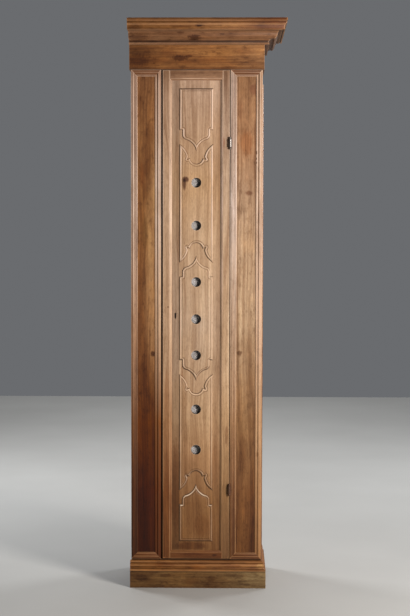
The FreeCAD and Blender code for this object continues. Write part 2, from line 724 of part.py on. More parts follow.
def make_back():
    inside = (inner_left, inner_right)
    rail_y = (back_boards_front - S.back_rail_thickness, back_boards_front)
    board("back_top_rail", inside, rail_y, (body_top - S.back_rail_height, body_top))
    board("back_bottom_rail", inside, rail_y,
          (S.side_bottom_rail_foot, threshold_top - S.floor_thickness))
    count = 3
    pitch = (inner_right - inner_left + S.back_board_gap) / count
    for index in range(count):
        name = f"back_board_{index + 1}"
        profile = shiplap_profile(pitch - S.back_board_gap, index > 0, index < count - 1)
        body = moulding(name, profile, body_top - S.side_bottom_rail_foot)
        place(body, inner_left + pitch * index, back_boards_front, S.side_bottom_rail_foot)
        keep(body, name)


def make_shelves():
    heights = {"lower": S.lower_shelf_height, "middle": S.middle_shelf_height,
               "upper": S.upper_shelf_height}
    shelf_x = grown((inner_left, inner_right), -S.shelf_play)
    shelf_y = (front + S.shelf_setback, back_boards_front - S.shelf_play)
    undersides = {"floor": threshold_top - S.floor_thickness}
    for level_name, height in heights.items():
        board(f"shelf_{level_name}", shelf_x, shelf_y, (height - S.shelf_thickness, height))
        undersides[level_name] = height - S.shelf_thickness
    cleats = []
    cleat_y = (front + S.shelf_setback, back_boards_front - S.back_rail_thickness)
    for level_name, top in undersides.items():
        for hand, x in (("left", (inner_left, inner_left + S.cleat_width)),
                        ("right", (inner_right - S.cleat_width, inner_right))):
            cleats.append(block(f"cleat_{level_name}_{hand}", x, cleat_y, (top - S.cleat_height, top)))
    battens = DOCUMENT.addObject("Part::Compound", "cleats")
    battens.Links = cleats
    keep(battens, "shelf_cleats")


# --- head ---------------------------------------------------------------------------------------

def make_head():
    frieze_z = (body_top, crown_bottom)
    inner_face = frieze_front + S.frieze_thickness
    board("frieze_front", (frieze_left, frieze_right), (frieze_front, inner_face), frieze_z)
    board("frieze_left", (frieze_left, frieze_left + S.frieze_thickness), (inner_face, back), frieze_z)
    board("frieze_right", (frieze_right - S.frieze_thickness, frieze_right), (inner_face, back),
          frieze_z)
    board("frieze_back", (frieze_left + S.frieze_thickness, frieze_right - S.frieze_thickness),
          (back - S.frieze_thickness, back), frieze_z)
    corner_moulding("bed_moulding", bed_moulding_profile, S.bed_projection, frieze_left, frieze_right,
                    frieze_front, crown_bottom, as_size(0))
    corner_moulding("crown", crown_profile, S.crown_projection, frieze_left - S.crown_left_overhang,
                    frieze_right, frieze_front, crown_bottom + S.crown_height, S.crown_seat)
    board("top_board", (frieze_left, frieze_right - S.crown_seat), (frieze_front + S.crown_seat, back),
          (crown_bottom, crown_bottom + S.top_board_thickness))


# --- door ---------------------------------------------------------------------------------------

def door_member(name, flat, length, start_square, end_square, x, z, turn):
    """One member of the door's frame; only its moulded edge is mitred."""
    width = flat + S.sticking_width
    body = moulding(name, door_member_profile(flat), length,
                    mitre_cuts(width, length, flat, start_square, end_square))
    place(body, x, front, z, turn)
    return body


def make_door_frame():
    stile, top, bottom = S.door_stile_flat, S.door_top_flat, S.door_bottom_flat
    between = (door_left + stile, door_right - stile)
    tenon_x = grown(between, S.tenon_length)
    tenon_y = (front + S.tenon_shoulder, front + S.tenon_shoulder + S.tenon_thickness)
    rails = {
        "door_top_rail": (top, between[0], door_top, RIGHTWARDS,
                          (door_top - top + S.tenon_shoulder, door_top - S.tenon_shoulder)),
        "door_bottom_rail": (bottom, between[1], door_bottom, LEFTWARDS,
                             (door_bottom + S.tenon_shoulder, door_bottom + bottom - S.tenon_shoulder)),
    }
    mortises = []
    for name, (flat, x, z, turn, tenon_z) in rails.items():
        body = door_member(name, flat, between[1] - between[0], as_size(0), as_size(0), x, z, turn)
        keep(fuse(name, body, block(f"{name}_tenons", tenon_x, tenon_y, tenon_z)), name)
        mortises.append(block(f"{name}_mortises",
                              *(grown(s, S.joint_play) for s in (tenon_x, tenon_y, tenon_z))))
    stiles = {
        "door_lock_stile": (bottom, top, door_left, door_bottom, UPWARDS),
        "door_hinge_stile": (top, bottom, door_right, door_top, DOWNWARDS),
    }
    for name, (start_square, end_square, x, z, turn) in stiles.items():
        body = door_member(name, stile, door_height, start_square, end_square, x, z, turn)
        keep(cut(name, body, *mortises), name)


def pointed_end(half, tip, way):
    """A raised field's ogee end. way is 1 where the tip points up and -1 where it points down."""
    ear, across = S.ogee_ear_across, S.ogee_knee_across
    reach, drop = ear - across, S.ogee_ear_drop - S.ogee_knee_drop
    shoulder_radius = (reach * reach + drop * drop) / (reach * 2)
    knee = tip - way * S.ogee_knee_drop
    ear_foot = tip - way * S.ogee_ear_drop
    side = tip - way * S.ogee_height
    return [(half, side, None), (ear, side, None), (ear, ear_foot, None),
            (across, knee, shoulder_radius), (0, tip, -S.ogee_radius),
            (-across, knee, -S.ogee_radius), (-ear, ear_foot, shoulder_radius),
            (-ear, side, None), (-half, side, None)]


def hollow_end(half, tip, way):
    """The hollow end that faces a tip across the channel: a lobe, two pointed cusps and two horns."""
    middle = tip + way * S.channel_width
    across, drop = S.lobe_across, S.lobe_drop
    lobe_radius = (across * across + drop * drop) / (drop * 2)
    lobe_foot = middle - way * drop
    cusp = middle - way * S.cusp_drop
    neck = middle - way * S.neck_drop
    corner = middle - way * S.bowl_depth
    return [(half, corner, None), (S.neck_across, neck, S.horn_radius), (S.cusp_across, cusp, None),
            (across, lobe_foot, None), (0, middle, -lobe_radius),
            (-across, lobe_foot, -lobe_radius), (-S.cusp_across, cusp, None),
            (-S.neck_across, neck, None), (-half, corner, S.horn_radius)]


def straight_end(half, z):
    return [(half, z, None), (-half, z, None)]


def mirrored(end):
    """The same end walked from left to right."""
    return [(-as_size(x), z, radius) for x, z, radius in end]


def field_outline(bottom_end, top_end):
    """A raised field, anticlockwise: along its foot to the right, then back along its top."""
    corners = mirrored(bottom_end) + top_end
    return [(x, z) if radius is None else (x, z, radius) for x, z, radius in corners]


def make_door_panel():
    """A panel with a sunk margin and five raised fields, divided by four ogee channels."""
    edge = S.sticking_width + S.door_stile_flat
    half_opening = door_width / 2 - edge
    opening_z = (S.door_bottom_flat + S.sticking_width, door_height - S.door_top_flat - S.sticking_width)
    half = half_opening - S.margin_side
    foot, head = opening_z[0] + S.margin_bottom, opening_z[1] - S.margin_top
    rise = head - foot
    shares = (S.tip_share_1, S.tip_share_2, S.tip_share_3, S.tip_share_4)
    tips = [level(f"tip_{n}", foot + rise * share, "pointed tip over the foot of the door")
            for n, share in enumerate(shares, start=1)]
    shares = (S.vent_share_1, S.vent_share_2, S.vent_share_3, S.vent_share_4, S.vent_share_5,
              S.vent_share_6, S.vent_share_7)
    vents = [level(f"vent_{n}", foot + rise * share, "vent hole's middle over the foot of the door")
             for n, share in enumerate(shares, start=1)]
    up, down = 1, -1

    body = new_body("door_panel")
    inset = S.groove_depth - S.groove_play
    slab_half, slab_z = half_opening + inset, grown(opening_z, inset)
    slab = [(-slab_half, slab_z[0]), (slab_half, slab_z[0]), (slab_half, slab_z[1]),
            (-slab_half, slab_z[1])]
    pad(body, new_sketch(body, "XZ_Plane", slab), S.tongue_thickness)
    thick_half, thick_z = half_opening - S.panel_back_play, grown(opening_z, -S.panel_back_play)
    thick = [(-thick_half, thick_z[0]), (thick_half, thick_z[0]), (thick_half, thick_z[1]),
             (-thick_half, thick_z[1])]
    tongue_back = S.plate_recess + S.tongue_thickness
    pad(body, new_sketch(body, "XZ_Plane", thick), S.panel_back_recess - tongue_back, reverse=True)
    fields = [
        field_outline(straight_end(half, foot), pointed_end(half, tips[0], up)),
        field_outline(hollow_end(half, tips[0], up), hollow_end(half, tips[1], down)),
        field_outline(pointed_end(half, tips[1], down), pointed_end(half, tips[2], up)),
        field_outline(hollow_end(half, tips[2], up), hollow_end(half, tips[3], down)),
        field_outline(pointed_end(half, tips[3], down), straight_end(half, head)),
    ]
    raised = tongue_back - S.field_recess
    pad(body, new_sketch(body, "XZ_Plane", *fields), raised)
    DOCUMENT.recompute()
    cut_vents(body, vents)
    place(body, door_middle, front + tongue_back, door_bottom)
    keep(body, "door_panel")
    return vents


def cut_vents(body, vents):
    """Seven round vent holes and the keyhole, right through the panel."""
    sketch = new_sketch(body, "XZ_Plane")
    for height in vents:
        add_circle(sketch, 0, height, S.vent_diameter / 2)
    x = S.keyhole_inset - door_width / 2
    foot, top = S.keyhole_height, S.keyhole_height + S.keyhole_length
    slot, eye = S.keyhole_slot / 2, S.keyhole_eye / 2
    eye_foot = top - eye - root(eye * eye - slot * slot)
    add_outline(sketch, [(x - slot, foot), (x + slot, foot), (x + slot, eye_foot), (x, top, eye),
                         (x - slot, eye_foot, eye)])
    pocket_through(body, sketch)


def make_door_fittings(vents):
    panel_back = front + S.panel_back_recess
    board("door_gauze", (door_middle - S.gauze_width / 2, door_middle + S.gauze_width / 2),
          (panel_back, panel_back + S.gauze_thickness),
          grown((door_bottom + vents[0], door_bottom + vents[-1]), S.gauze_margin))


# --- lock and stop ------------------------------------------------------------------------------

def make_lock():
    key_x = door_left + S.keyhole_inset
    key_foot = door_bottom + S.keyhole_height
    key_top = key_foot + S.keyhole_length
    case_x = (door_left + S.lock_inset, door_left + S.lock_inset + S.lock_width)
    case_y = (door_back, door_back + S.lock_thickness)
    case_z = (key_foot - S.lock_below_key, key_foot - S.lock_below_key + S.lock_height)
    bolt_x = (door_left + S.bolt_inset, door_left + S.bolt_inset + S.bolt_length)
    bolt_front = door_back + S.lock_plate + S.bolt_play
    bolt_y = (bolt_front, bolt_front + S.bolt_thickness)
    bolt_z = (key_top + S.bolt_above_key, key_top + S.bolt_above_key + S.bolt_height)
    plate = S.lock_plate
    channel = block("lock_channel", (case_x[0] - CUT_MARGIN, bolt_x[1] + S.bolt_play),
                    grown(bolt_y, S.bolt_play), grown(bolt_z, S.bolt_play))
    key_room = block("lock_key_room", grown((key_x, key_x), S.key_room_width / 2),
                     (case_y[0] + plate, case_y[1] - plate), (case_z[0] + plate, bolt_z[0]))
    slot = block("lock_keyhole_slot", grown((key_x, key_x), S.keyhole_slot / 2),
                 (case_y[0] - CUT_MARGIN, case_y[0] + plate + CUT_MARGIN), (key_foot, key_top))
    eye = DOCUMENT.addObject("Part::Cylinder", "lock_keyhole_eye")
    bind(eye, Radius=S.keyhole_eye / 2, Height=plate + 2 * CUT_MARGIN)
    place(eye, key_x, case_y[0] + plate + CUT_MARGIN, key_top - S.keyhole_eye / 2,
          Rotation(Vector(1, 0, 0), 90))
    case = block("lock_case_block", case_x, case_y, case_z)
    keep(cut("lock_case", case, channel, key_room, slot, eye), "lock_case")
    talon = block("lock_talon", grown((key_x, key_x), S.talon_width / 2), grown(bolt_y, CUT_MARGIN),
                  (bolt_z[0] - CUT_MARGIN, bolt_z[0] + S.talon_depth))
    bolt = block("lock_bolt_bar", bolt_x, bolt_y, bolt_z)
    keep(cut("lock_bolt", bolt, talon), "lock_bolt")
    return case_z


def make_door_stop(lock_z):
    """A lath behind the door's free edge, in two lengths that leave room for the lock."""
    x = (opening_left - S.stop_seat, door_left + S.stop_overlap)
    y = (frame_back, frame_back + S.stop_thickness)
    lengths = [(threshold_top, lock_z[0] - S.stop_lock_room), (lock_z[1] + S.stop_lock_room, body_top)]
    stop = DOCUMENT.addObject("Part::Compound", "stop_lengths")
    stop.Links = [block(f"door_stop_{n}", x, y, z) for n, z in enumerate(lengths, start=1)]
    keep(stop, "door_stop")


# --- hinges -------------------------------------------------------------------------------------

def revolve(body, profile):
    """Turns a profile, read as (radius, height), round the body's own Z axis."""
    feature = body.newObject("PartDesign::Revolution", f"{body.Name}_turned")
    sketch = new_sketch(body, "XZ_Plane", profile)
    feature.Profile = sketch
    feature.ReferenceAxis = (sketch, ["V_Axis"])
    feature.Angle = 360
    body.Tip = feature
    DOCUMENT.recompute()


def knob_radius():
    """The radius of a ball that meets the neck and is centred on the hinge's axis."""
    return S.knob_length / 2 + S.knob_neck * S.knob_neck / (S.knob_length * 2)


def add_leaf(body, x, z):
    """A flat leaf from the barrel wall backwards, on the sketch plane at z."""
    root_y, leaf_end = S.knuckle_radius - S.leaf_bite, hinge_standoff + S.leaf_depth
    outline = [(x[0], root_y), (x[1], root_y), (x[1], leaf_end), (x[0], leaf_end)]
    sketch = new_sketch(body, "XY_Plane", outline)
    leaf = pad(body, sketch, S.knuckle_length - S.knuckle_play / 2)
    bind(sketch, AttachmentOffset__Base__z=z)
    DOCUMENT.recompute()
    return leaf


def make_hinge(name, z):
    """A barrel hinge in two halves; the lower half carries the pin and sits on the pilaster."""
    barrel, length, half_play = S.knuckle_radius, S.knuckle_length, S.knuckle_play / 2
    pin, neck, rim, ball = S.hinge_pin_radius, S.knob_neck, S.knuckle_rim, knob_radius()
    pin_top = S.hinge_pin_length
    lower = new_body(f"{name}_frame_half")
    revolve(lower, [(0, pin_top), (0, -length - S.knob_length), (neck, -length, ball),
                    (barrel - rim, -length), (barrel, rim - length), (barrel, -half_play),
                    (pin, -half_play), (pin, pin_top - rim), (pin - rim, pin_top)])
    gap = S.hinge_gap / 2
    add_leaf(lower, (gap - S.leaf_thickness, gap), -length)
    keep(place(lower, hinge_x, hinge_y, z), f"{name}_frame_half")
    upper = new_body(f"{name}_door_half")
    bore, bore_top = pin + S.hinge_pin_play, pin_top + S.hinge_bore_room
    revolve(upper, [(bore, half_play), (barrel, half_play), (barrel, length - rim),
                    (barrel - rim, length), (neck, length), (0, length + S.knob_length, ball),
                    (0, bore_top), (bore, bore_top)])
    add_leaf(upper, (-gap, S.leaf_thickness - gap), half_play)
    keep(place(upper, hinge_x, hinge_y, z), f"{name}_door_half")


def make_hinges():
    make_hinge("hinge_upper", door_top - S.hinge_setback_top)
    make_hinge("hinge_lower", door_bottom + S.hinge_setback_foot)


# --- the whole cabinet --------------------------------------------------------------------------

def check_document():
    """Stops the build if any object failed or any sub-part is empty, unsound or misnamed."""
    DOCUMENT.recompute()
    failed = [o.Name for o in DOCUMENT.Objects if {"Invalid", "Error"} & set(o.State)]
    if failed:
        raise RuntimeError(f"these objects failed: {failed}")
    labels = [thing.Label for thing in KEPT]
    if len(set(labels)) != len(labels):
        raise RuntimeError("two sub-parts share a name")
    for thing in KEPT:
        if thing.Shape.isNull() or not thing.Shape.isValid() or not thing.Shape.Solids:
            raise RuntimeError(f"{thing.Label} has no sound shape")


def write_parts():
    os.makedirs("parts", exist_ok=True)
    for thing in KEPT:
        thing.Shape.exportStep(f"parts/{thing.Label}.step")
    print(f"wrote {len(KEPT)} sub-parts")


make_base()
make_pilasters()
make_sides()
make_back()
make_shelves()
make_head()
make_door_frame()
door_vents = make_door_panel()
make_door_fittings(door_vents)
lock_span = make_lock()
make_door_stop(lock_span)
make_hinges()
check_document()
write_parts()
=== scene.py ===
# %% [markdown]
# # A bonnetiere cabinet, dressed in Blender
#
# The cabinet's boards, mouldings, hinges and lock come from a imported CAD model, the frame. This
# script gives every board its wood, carves the long door panel, weaves the gauze behind the vent
# holes, and sets pegs, tacks, rivets and nails. The frame's objects are never moved: pieces are
# built around them, in metres, in the same place.

import math

import bmesh
import bpy
import numpy as np
from mathutils import Matrix, Vector
from mathutils.geometry import delaunay_2d_cdt


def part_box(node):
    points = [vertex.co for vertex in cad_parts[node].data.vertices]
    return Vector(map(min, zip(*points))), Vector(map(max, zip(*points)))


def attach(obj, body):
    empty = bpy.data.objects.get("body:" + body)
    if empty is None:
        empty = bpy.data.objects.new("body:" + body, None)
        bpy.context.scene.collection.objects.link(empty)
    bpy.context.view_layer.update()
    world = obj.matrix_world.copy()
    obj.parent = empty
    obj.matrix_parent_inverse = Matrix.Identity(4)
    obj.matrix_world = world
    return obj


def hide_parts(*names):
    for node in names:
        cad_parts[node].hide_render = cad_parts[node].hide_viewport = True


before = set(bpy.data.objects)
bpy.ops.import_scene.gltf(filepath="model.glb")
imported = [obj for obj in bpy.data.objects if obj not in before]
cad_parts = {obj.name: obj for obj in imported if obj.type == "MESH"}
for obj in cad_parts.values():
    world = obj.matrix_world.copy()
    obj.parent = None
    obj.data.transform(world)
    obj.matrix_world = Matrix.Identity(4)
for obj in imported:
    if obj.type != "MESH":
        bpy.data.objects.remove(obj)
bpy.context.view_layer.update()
MM = 0.001

# %% [markdown]
# ## The camera
#
# A tall, flat piece of furniture shows its proportions best through a long lens from far away. The
# camera stands nearly six metres off, a little right of the middle and at eye height, and looks
# slightly down and to the left. It is rolled first, then tilted and last turned, and the matrices
# that do this are multiplied in the opposite order.

# %% Camera
CAMERA_PLACE = Vector((0.0978, -5.9285, 1.5039))
CAMERA_PITCH = math.radians(-3.28)
CAMERA_TURN = math.radians(1.05)
CAMERA_ROLL = math.radians(0.11)
SENSOR_SIZE = 36.0
PICTURE_HEIGHT = 616
FOCAL_LENGTH_PIXELS = 1401.8

camera_data = bpy.data.cameras.new("camera")
camera_data.sensor_fit = "AUTO"
camera_data.sensor_width = SENSOR_SIZE
camera_data.lens = FOCAL_LENGTH_PIXELS * SENSOR_SIZE / PICTURE_HEIGHT
camera_data.clip_end = 60.0
camera = bpy.data.objects.new("camera", camera_data)
bpy.context.scene.collection.objects.link(camera)
turn = Matrix.Rotation(CAMERA_TURN, 4, "Z")
tilt = Matrix.Rotation(math.pi / 2 + CAMERA_PITCH, 4, "X")
roll = Matrix.Rotation(CAMERA_ROLL, 4, "Z")
camera.matrix_world = Matrix.Translation(CAMERA_PLACE) @ turn @ tilt @ roll
bpy.context.scene.camera = camera
print(f"lens {camera_data.lens:.1f} mm")

# %% [markdown]
# ## Studio light
#
# One soft lamp stands right of the cabinet and at head height, so mouldings throw narrow soft
# shadows to the left. Two weaker lamps behind the cabinet light its back and its sides, and a wide
# one hangs over the far floor. These three stand behind the front's own plane, so the front doesn't
# change. An area lamp is a glowing square: the larger it is, the softer its shadows.

# %% Lamps
WARM_WHITE, COOL_WHITE = (1.0, 0.97, 0.93), (0.94, 0.97, 1.0)
BACK_AIM = (0.0, 0.0, 1.1)
LAMPS = {  # place, the point aimed at, side of the square, power, colour
    "key_lamp": ((2.30, -2.75, 1.70), (-0.05, -0.13, 1.20), 0.90, 162.0, WARM_WHITE),
    "back_left_lamp": ((-2.9, 2.3, 2.3), BACK_AIM, 1.2, 90.0, COOL_WHITE),
    "back_right_lamp": ((3.0, 2.6, 2.5), BACK_AIM, 1.2, 70.0, COOL_WHITE),
    "far_floor_lamp": ((0.0, 5.0, 5.0), (0.0, 5.0, 0.0), 4.0, 150.0, COOL_WHITE),
}
for name, (place, aim, size, power, tint) in LAMPS.items():
    lamp = bpy.data.lights.new(name, "AREA")
    lamp.size = size
    lamp.energy = power
    lamp.color = tint
    way = Vector(aim) - Vector(place)
    facing = way.to_track_quat("-Z", "Y").to_matrix().to_4x4()
    lamp_object = bpy.data.objects.new(name, lamp)
    lamp_object.matrix_world = Matrix.Translation(Vector(place)) @ facing
    lamp_object.visible_camera = False
    bpy.context.scene.collection.objects.link(lamp_object)
print(f"{len(LAMPS)} lamps")

# %% [markdown]
# ## Surroundings
#
# The surroundings fill the shadows from all sides. Seen directly they are a grey wall, but as light
# they are much weaker, or every corner of the carving would be washed out. The Light Path node
# tells the two apart: it gives 1 to a ray from the camera and 0 to any other, and a Map Range node
# turns that into a strength.

# %% Surroundings
FILL_STRENGTH = 0.06
WALL_STRENGTH = 0.18

world = bpy.data.worlds.new("surroundings")
world.use_nodes = True
sky = world.node_tree.nodes["Background"]
sky.inputs["Color"].default_value = (0.80, 0.83, 0.88, 1.0)
seen = world.node_tree.nodes.new("ShaderNodeLightPath")
strength = world.node_tree.nodes.new("ShaderNodeMapRange")
strength.inputs["To Min"].default_value = FILL_STRENGTH
strength.inputs["To Max"].default_value = WALL_STRENGTH
world.node_tree.links.new(seen.outputs["Is Camera Ray"], strength.inputs["Value"])
world.node_tree.links.new(strength.outputs["Result"], sky.inputs["Strength"])
bpy.context.scene.world = world
bpy.context.scene.view_settings.view_transform = "Standard"
print(f"the wall is {WALL_STRENGTH / FILL_STRENGTH:.0f} times as bright as the fill")

# %% [markdown]
# ## Helpers for materials
#
# A material is a graph of nodes. Writing one by hand in Python takes many lines for little, so this
# small class adds a node, wires its inputs and returns its first output. An input may be a number,
# a colour or another node's output.

# %% A graph of shader nodes
class Graph:
    """Builds one material, node by node."""

    def __init__(self, name):
        self.material = bpy.data.materials.new(name)
        self.material.use_nodes = True
        self.tree = self.material.node_tree
        self.shader = self.tree.nodes["Principled BSDF"]

    def add(self, kind, inputs=None, output=0, **settings):
        """Adds a node, sets its settings, fills its inputs and returns one of its outputs."""
        node = self.tree.nodes.new(kind)
        for name, value in settings.items():
            setattr(node, name, value)
        for name, value in (inputs or {}).items():
            self.fill(node.inputs[name], value)
        return node.outputs[output]

    def fill(self, socket, value):
        if isinstance(value, bpy.types.NodeSocket):
            self.tree.links.new(value, socket)
        else:
            socket.default_value = value

    def sum(self, operation, *values, clamp=False):
        """One step of arithmetic on numbers."""
        inputs = dict(enumerate(values))
        return self.add("ShaderNodeMath", inputs, operation=operation, use_clamp=clamp)

    def vector(self, operation, *values, output=0):
        """One step of arithmetic on vectors."""
        inputs = dict(enumerate(values))
        return self.add("ShaderNodeVectorMath", inputs, output, operation=operation)

    def mix(self, factor, first, second, blend="MIX"):
        """Mixes two colours."""
        node = self.tree.nodes.new("ShaderNodeMix")
        node.data_type = "RGBA"
        node.blend_type = blend
        node.clamp_factor = True
        self.fill(node.inputs[0], factor)
        self.fill(node.inputs[6], first)
        self.fill(node.inputs[7], second)
        return node.outputs[2]

    def range(self, value, low, high, to_low=0.0, to_high=1.0):
        """Maps low..high smoothly to another range."""
        inputs = {"Value": value, "From Min": low, "From Max": high, "To Min": to_low, "To Max": to_high}
        return self.add("ShaderNodeMapRange", inputs, interpolation_type="SMOOTHSTEP")

    def ramp(self, value, stops):
        """A colour for each value: stops are (value, colour)."""
        node = self.tree.nodes.new("ShaderNodeValToRGB")
        elements = node.color_ramp.elements
        while len(elements) < len(stops):
            elements.new(1.0)
        for element, (position, colour) in zip(elements, stops):
            element.position = position
            element.color = (*colour, 1.0)
        self.fill(node.inputs[0], value)
        return node.outputs[0]

    def noise(self, vector, scale=1.0, detail=2.0, roughness=0.5):
        """Soft random values around a half."""
        inputs = {"Vector": vector, "Scale": scale, "Detail": detail, "Roughness": roughness}
        return self.add("ShaderNodeTexNoise", inputs)

    def place(self):
        """The point on the piece, in metres. It stays with the piece when a joint moves."""
        return self.add("ShaderNodeTexCoord", output=3)

    def attribute(self, name):
        """A number stored at each point of the mesh."""
        return self.add("ShaderNodeAttribute", output=2, attribute_name=name)


print("a graph adds, wires and sets nodes")

# %% [markdown]
# ## Colours as light
#
# A colour is given here as red, green and blue from 0 to 255, as the eye reads it. Blender mixes
# light, in which half the number is far less than half the light, so every colour is converted before
# it is used.

# %% Colour as light
def colour(red, green, blue):
    """A colour given as the eye reads it, 0 to 255, turned into the light that Blender mixes."""
    def linear(value):
        share = value / 255
        return share / 12.92 if share <= 0.04045 else ((share + 0.055) / 1.055) ** 2.4
    return linear(red), linear(green), linear(blue)


def opaque(shade):
    """A colour with full cover, as colour sockets want it."""
    return (*shade, 1.0)


print("half of 255 is this much light:", round(colour(128, 128, 128)[0], 3))

# %% [markdown]
# ## The floor
#
# The cabinet stands on a wide sheet of pale paper. It is one square face, and a faint noise in its
# colour keeps it from looking like plastic.

# %% Floor
FLOOR_SIDE = 13.0
PAPER_TONES = [(0.3, colour(183, 181, 177)), (0.7, colour(189, 187, 183))]

half = FLOOR_SIDE / 2
floor_mesh = bpy.data.meshes.new("floor")
floor_corners = [(-half, -half, 0), (half, -half, 0), (half, half, 0), (-half, half, 0)]
floor_mesh.from_pydata(floor_corners, [], [(0, 1, 2, 3)])
floor = bpy.data.objects.new("floor", floor_mesh)
bpy.context.scene.collection.objects.link(floor)

paper = Graph("floor_paper")
paper_noise = paper.noise(paper.place(), 1.5, 4.0)
paper.fill(paper.shader.inputs["Base Color"], paper.ramp(paper_noise, PAPER_TONES))
paper.shader.inputs["Roughness"].default_value = 0.9
floor_mesh.materials.append(paper.material)
print(f"a sheet of paper {FLOOR_SIDE} m square")

# %% [markdown]
# ## Wood: the grain
#
# Old stripped wood is read from three things: streaks that run along the board, a colour that
# changes slowly over the piece where the old finish was scrubbed off more or less, and dirt that
# stays in every corner of a moulding.
#
# The streaks are noise stretched along the grain, in four sizes: figures, streaks, fibres and pores.
# A slow drift bends them, as a trunk does. Clouds are noise that is stretched less, for patches of
# old finish, dirt and chalky wood. Each board shifts the pattern by its own seed, so no streak runs
# on from one board into the next.

# %% Noises of a board
ALONG = {"x": (1, 2, 0), "y": (0, 2, 1), "z": (0, 1, 2)}
DRIFT_STRETCH, DRIFT_SIZE = (5.0, 5.0, 1.8), 0.06
GRAIN_NOISES = {  # waves in a metre across and along the grain, detail
    "figures": (26.0, 0.7, 2.0),
    "streaks": (110.0, 2.2, 3.0),
    "fibres": (520.0, 9.0, 2.0),
    "pores": (1500.0, 70.0, 0.0),
}
CLOUD_NOISES = {  # the same, and roughness
    "patches": (13.0, 4.6, 6.0, 0.62),
    "dirt": (52.0, 24.0, 5.0, 0.7),
    "chalk": (14.0, 5.0, 4.0, 0.6),
}


def wood_noises(graph, axes, grain, seed):
    """Every noise of one board, by name. grain is the axis that the streaks run along."""
    first, second, along = (axes[axis] for axis in ALONG[grain])
    shift = (0.37 * seed % 5.0, 0.71 * seed % 7.0, 1.93 * seed % 11.0)
    board = graph.add("ShaderNodeCombineXYZ", {0: first, 1: second, 2: along})
    board = graph.vector("ADD", board, shift)
    drift = graph.noise(graph.vector("MULTIPLY", board, DRIFT_STRETCH))
    drift = graph.add("ShaderNodeCombineXYZ", {0: graph.sum("MULTIPLY", drift, DRIFT_SIZE)})
    bent = graph.vector("ADD", board, drift)
    noises = {}
    for name, (across, lengthwise, detail) in GRAIN_NOISES.items():
        stretched = graph.vector("MULTIPLY", bent, (across, across, lengthwise))
        noises[name] = graph.noise(stretched, 1.0, detail)
    for name, (across, lengthwise, detail, roughness) in CLOUD_NOISES.items():
        stretched = graph.vector("MULTIPLY", board, (across, across, lengthwise))
        noises[name] = graph.noise(stretched, 1.0, detail, roughness)
    return noises


print(f"{len(GRAIN_NOISES)} noises along the grain and {len(CLOUD_NOISES)} clouds")

# %% [markdown]
# ## Wood: colour by height and tints
#
# A hand scrubs a tall cupboard most at its middle, so the colour of each board is a ramp over the
# height. The noises then multiply tints into it: a tint under 1 darkens, and one over 1 lightens.
# Two tables hold the tints, and a short loop lays each of them.

# %% Colour of a board
GRAIN_TINTS = (  # noise, its dark end and its light end, the tint at each
    ("figures", 0.34, 0.66, (0.84, 0.79, 0.74), (1.12, 1.14, 1.15)),
    ("streaks", 0.30, 0.70, (0.87, 0.83, 0.79), (1.10, 1.12, 1.13)),
    ("fibres", 0.30, 0.70, (0.90, 0.88, 0.85), (1.07, 1.08, 1.09)),
)
CLOUD_TINTS = (  # noise, where the tint begins and is full, tint, how much (None: the board's blotch)
    ("patches", 0.50, 0.70, (0.52, 0.40, 0.30), None),
    ("patches", 0.50, 0.32, (1.22, 1.16, 1.02), None),
    ("dirt", 0.50, 0.70, (0.46, 0.38, 0.31), None),
    ("dirt", 0.47, 0.30, (1.32, 1.30, 1.28), None),
    ("chalk", 0.50, 0.72, (1.18, 1.26, 1.40), 0.32),
    ("pores", 0.60, 0.70, colour(120, 88, 62), 0.35),
)


def tones(shades):
    """Colours by height in millimetres, as a list of heights in metres and light."""
    return [(height * MM, colour(*shade)) for height, shade in shades.items()]


def by_height(graph, axes, stops):
    """A colour ramp over the height of the cabinet."""
    if len(stops) == 1:
        return opaque(stops[0][1])
    top = stops[-1][0]
    return graph.ramp(graph.sum("DIVIDE", axes[2], top), [(height / top, tone) for height, tone in stops])


def grained(graph, base, noises, blotch, contrast):
    """The colour with its streaks and clouds. contrast makes the streaks stronger."""
    for name, low, high, dark, light in GRAIN_TINTS:
        ends = [tuple(share ** contrast for share in tint) for tint in (dark, light)]
        tint = graph.ramp(graph.range(noises[name], low, high), [(0.0, ends[0]), (1.0, ends[1])])
        base = graph.mix(1.0, base, tint, "MULTIPLY")
    for name, start, full, tint, share in CLOUD_TINTS:
        cover = graph.range(noises[name], start, full, 0.0, blotch if share is None else share)
        base = graph.mix(cover, base, opaque(tint), "MULTIPLY")
    return base


print(f"{len(GRAIN_TINTS) + len(CLOUD_TINTS)} tints")

# %% [markdown]
# ## Wood: knots, stains and chips
#
# A mark is an oval at one place on a board, tinted into the colour. A noise is added to the distance
# from its middle, so that its edge is uneven and bleeds along the grain. A deep mark, such as a
# gouge, goes through the rubbed surface, and the others lie under it.

# %% Marks
MARK_NOISE = (160.0, 160.0, 70.0)


class Mark:
    """A knot, stain or patch: an uneven oval at one place on a board, in millimetres."""

    def __init__(self, centre, radii, tint, strength=1.0, rough_edge=0.35, deep=False):
        self.centre = centre
        self.radii = radii
        self.tint = tint
        self.strength = strength
        self.rough_edge = rough_edge
        self.deep = deep


def paint_marks(graph, place, base, marks, deep):
    """Multiplies the tints of the deep marks, or of the others, into the colour."""
    for mark in marks:
        if mark.deep != deep:
            continue
        away = graph.vector("SUBTRACT", place, [c * MM for c in mark.centre])
        away = graph.vector("DIVIDE", away, [r * MM for r in mark.radii])
        distance = graph.vector("LENGTH", away, output=1)
        wobble = graph.noise(graph.vector("MULTIPLY", place, MARK_NOISE), 1.0, 3.0)
        distance = graph.sum("MULTIPLY_ADD", wobble, mark.rough_edge * 2, distance)
        inside_it = graph.range(distance, 1.0 + mark.rough_edge, 0.45 + mark.rough_edge, 0.0, mark.strength)
        base = graph.mix(inside_it, base, opaque(mark.tint), "MULTIPLY")
    return base


print("marks are ovals with an uneven edge")
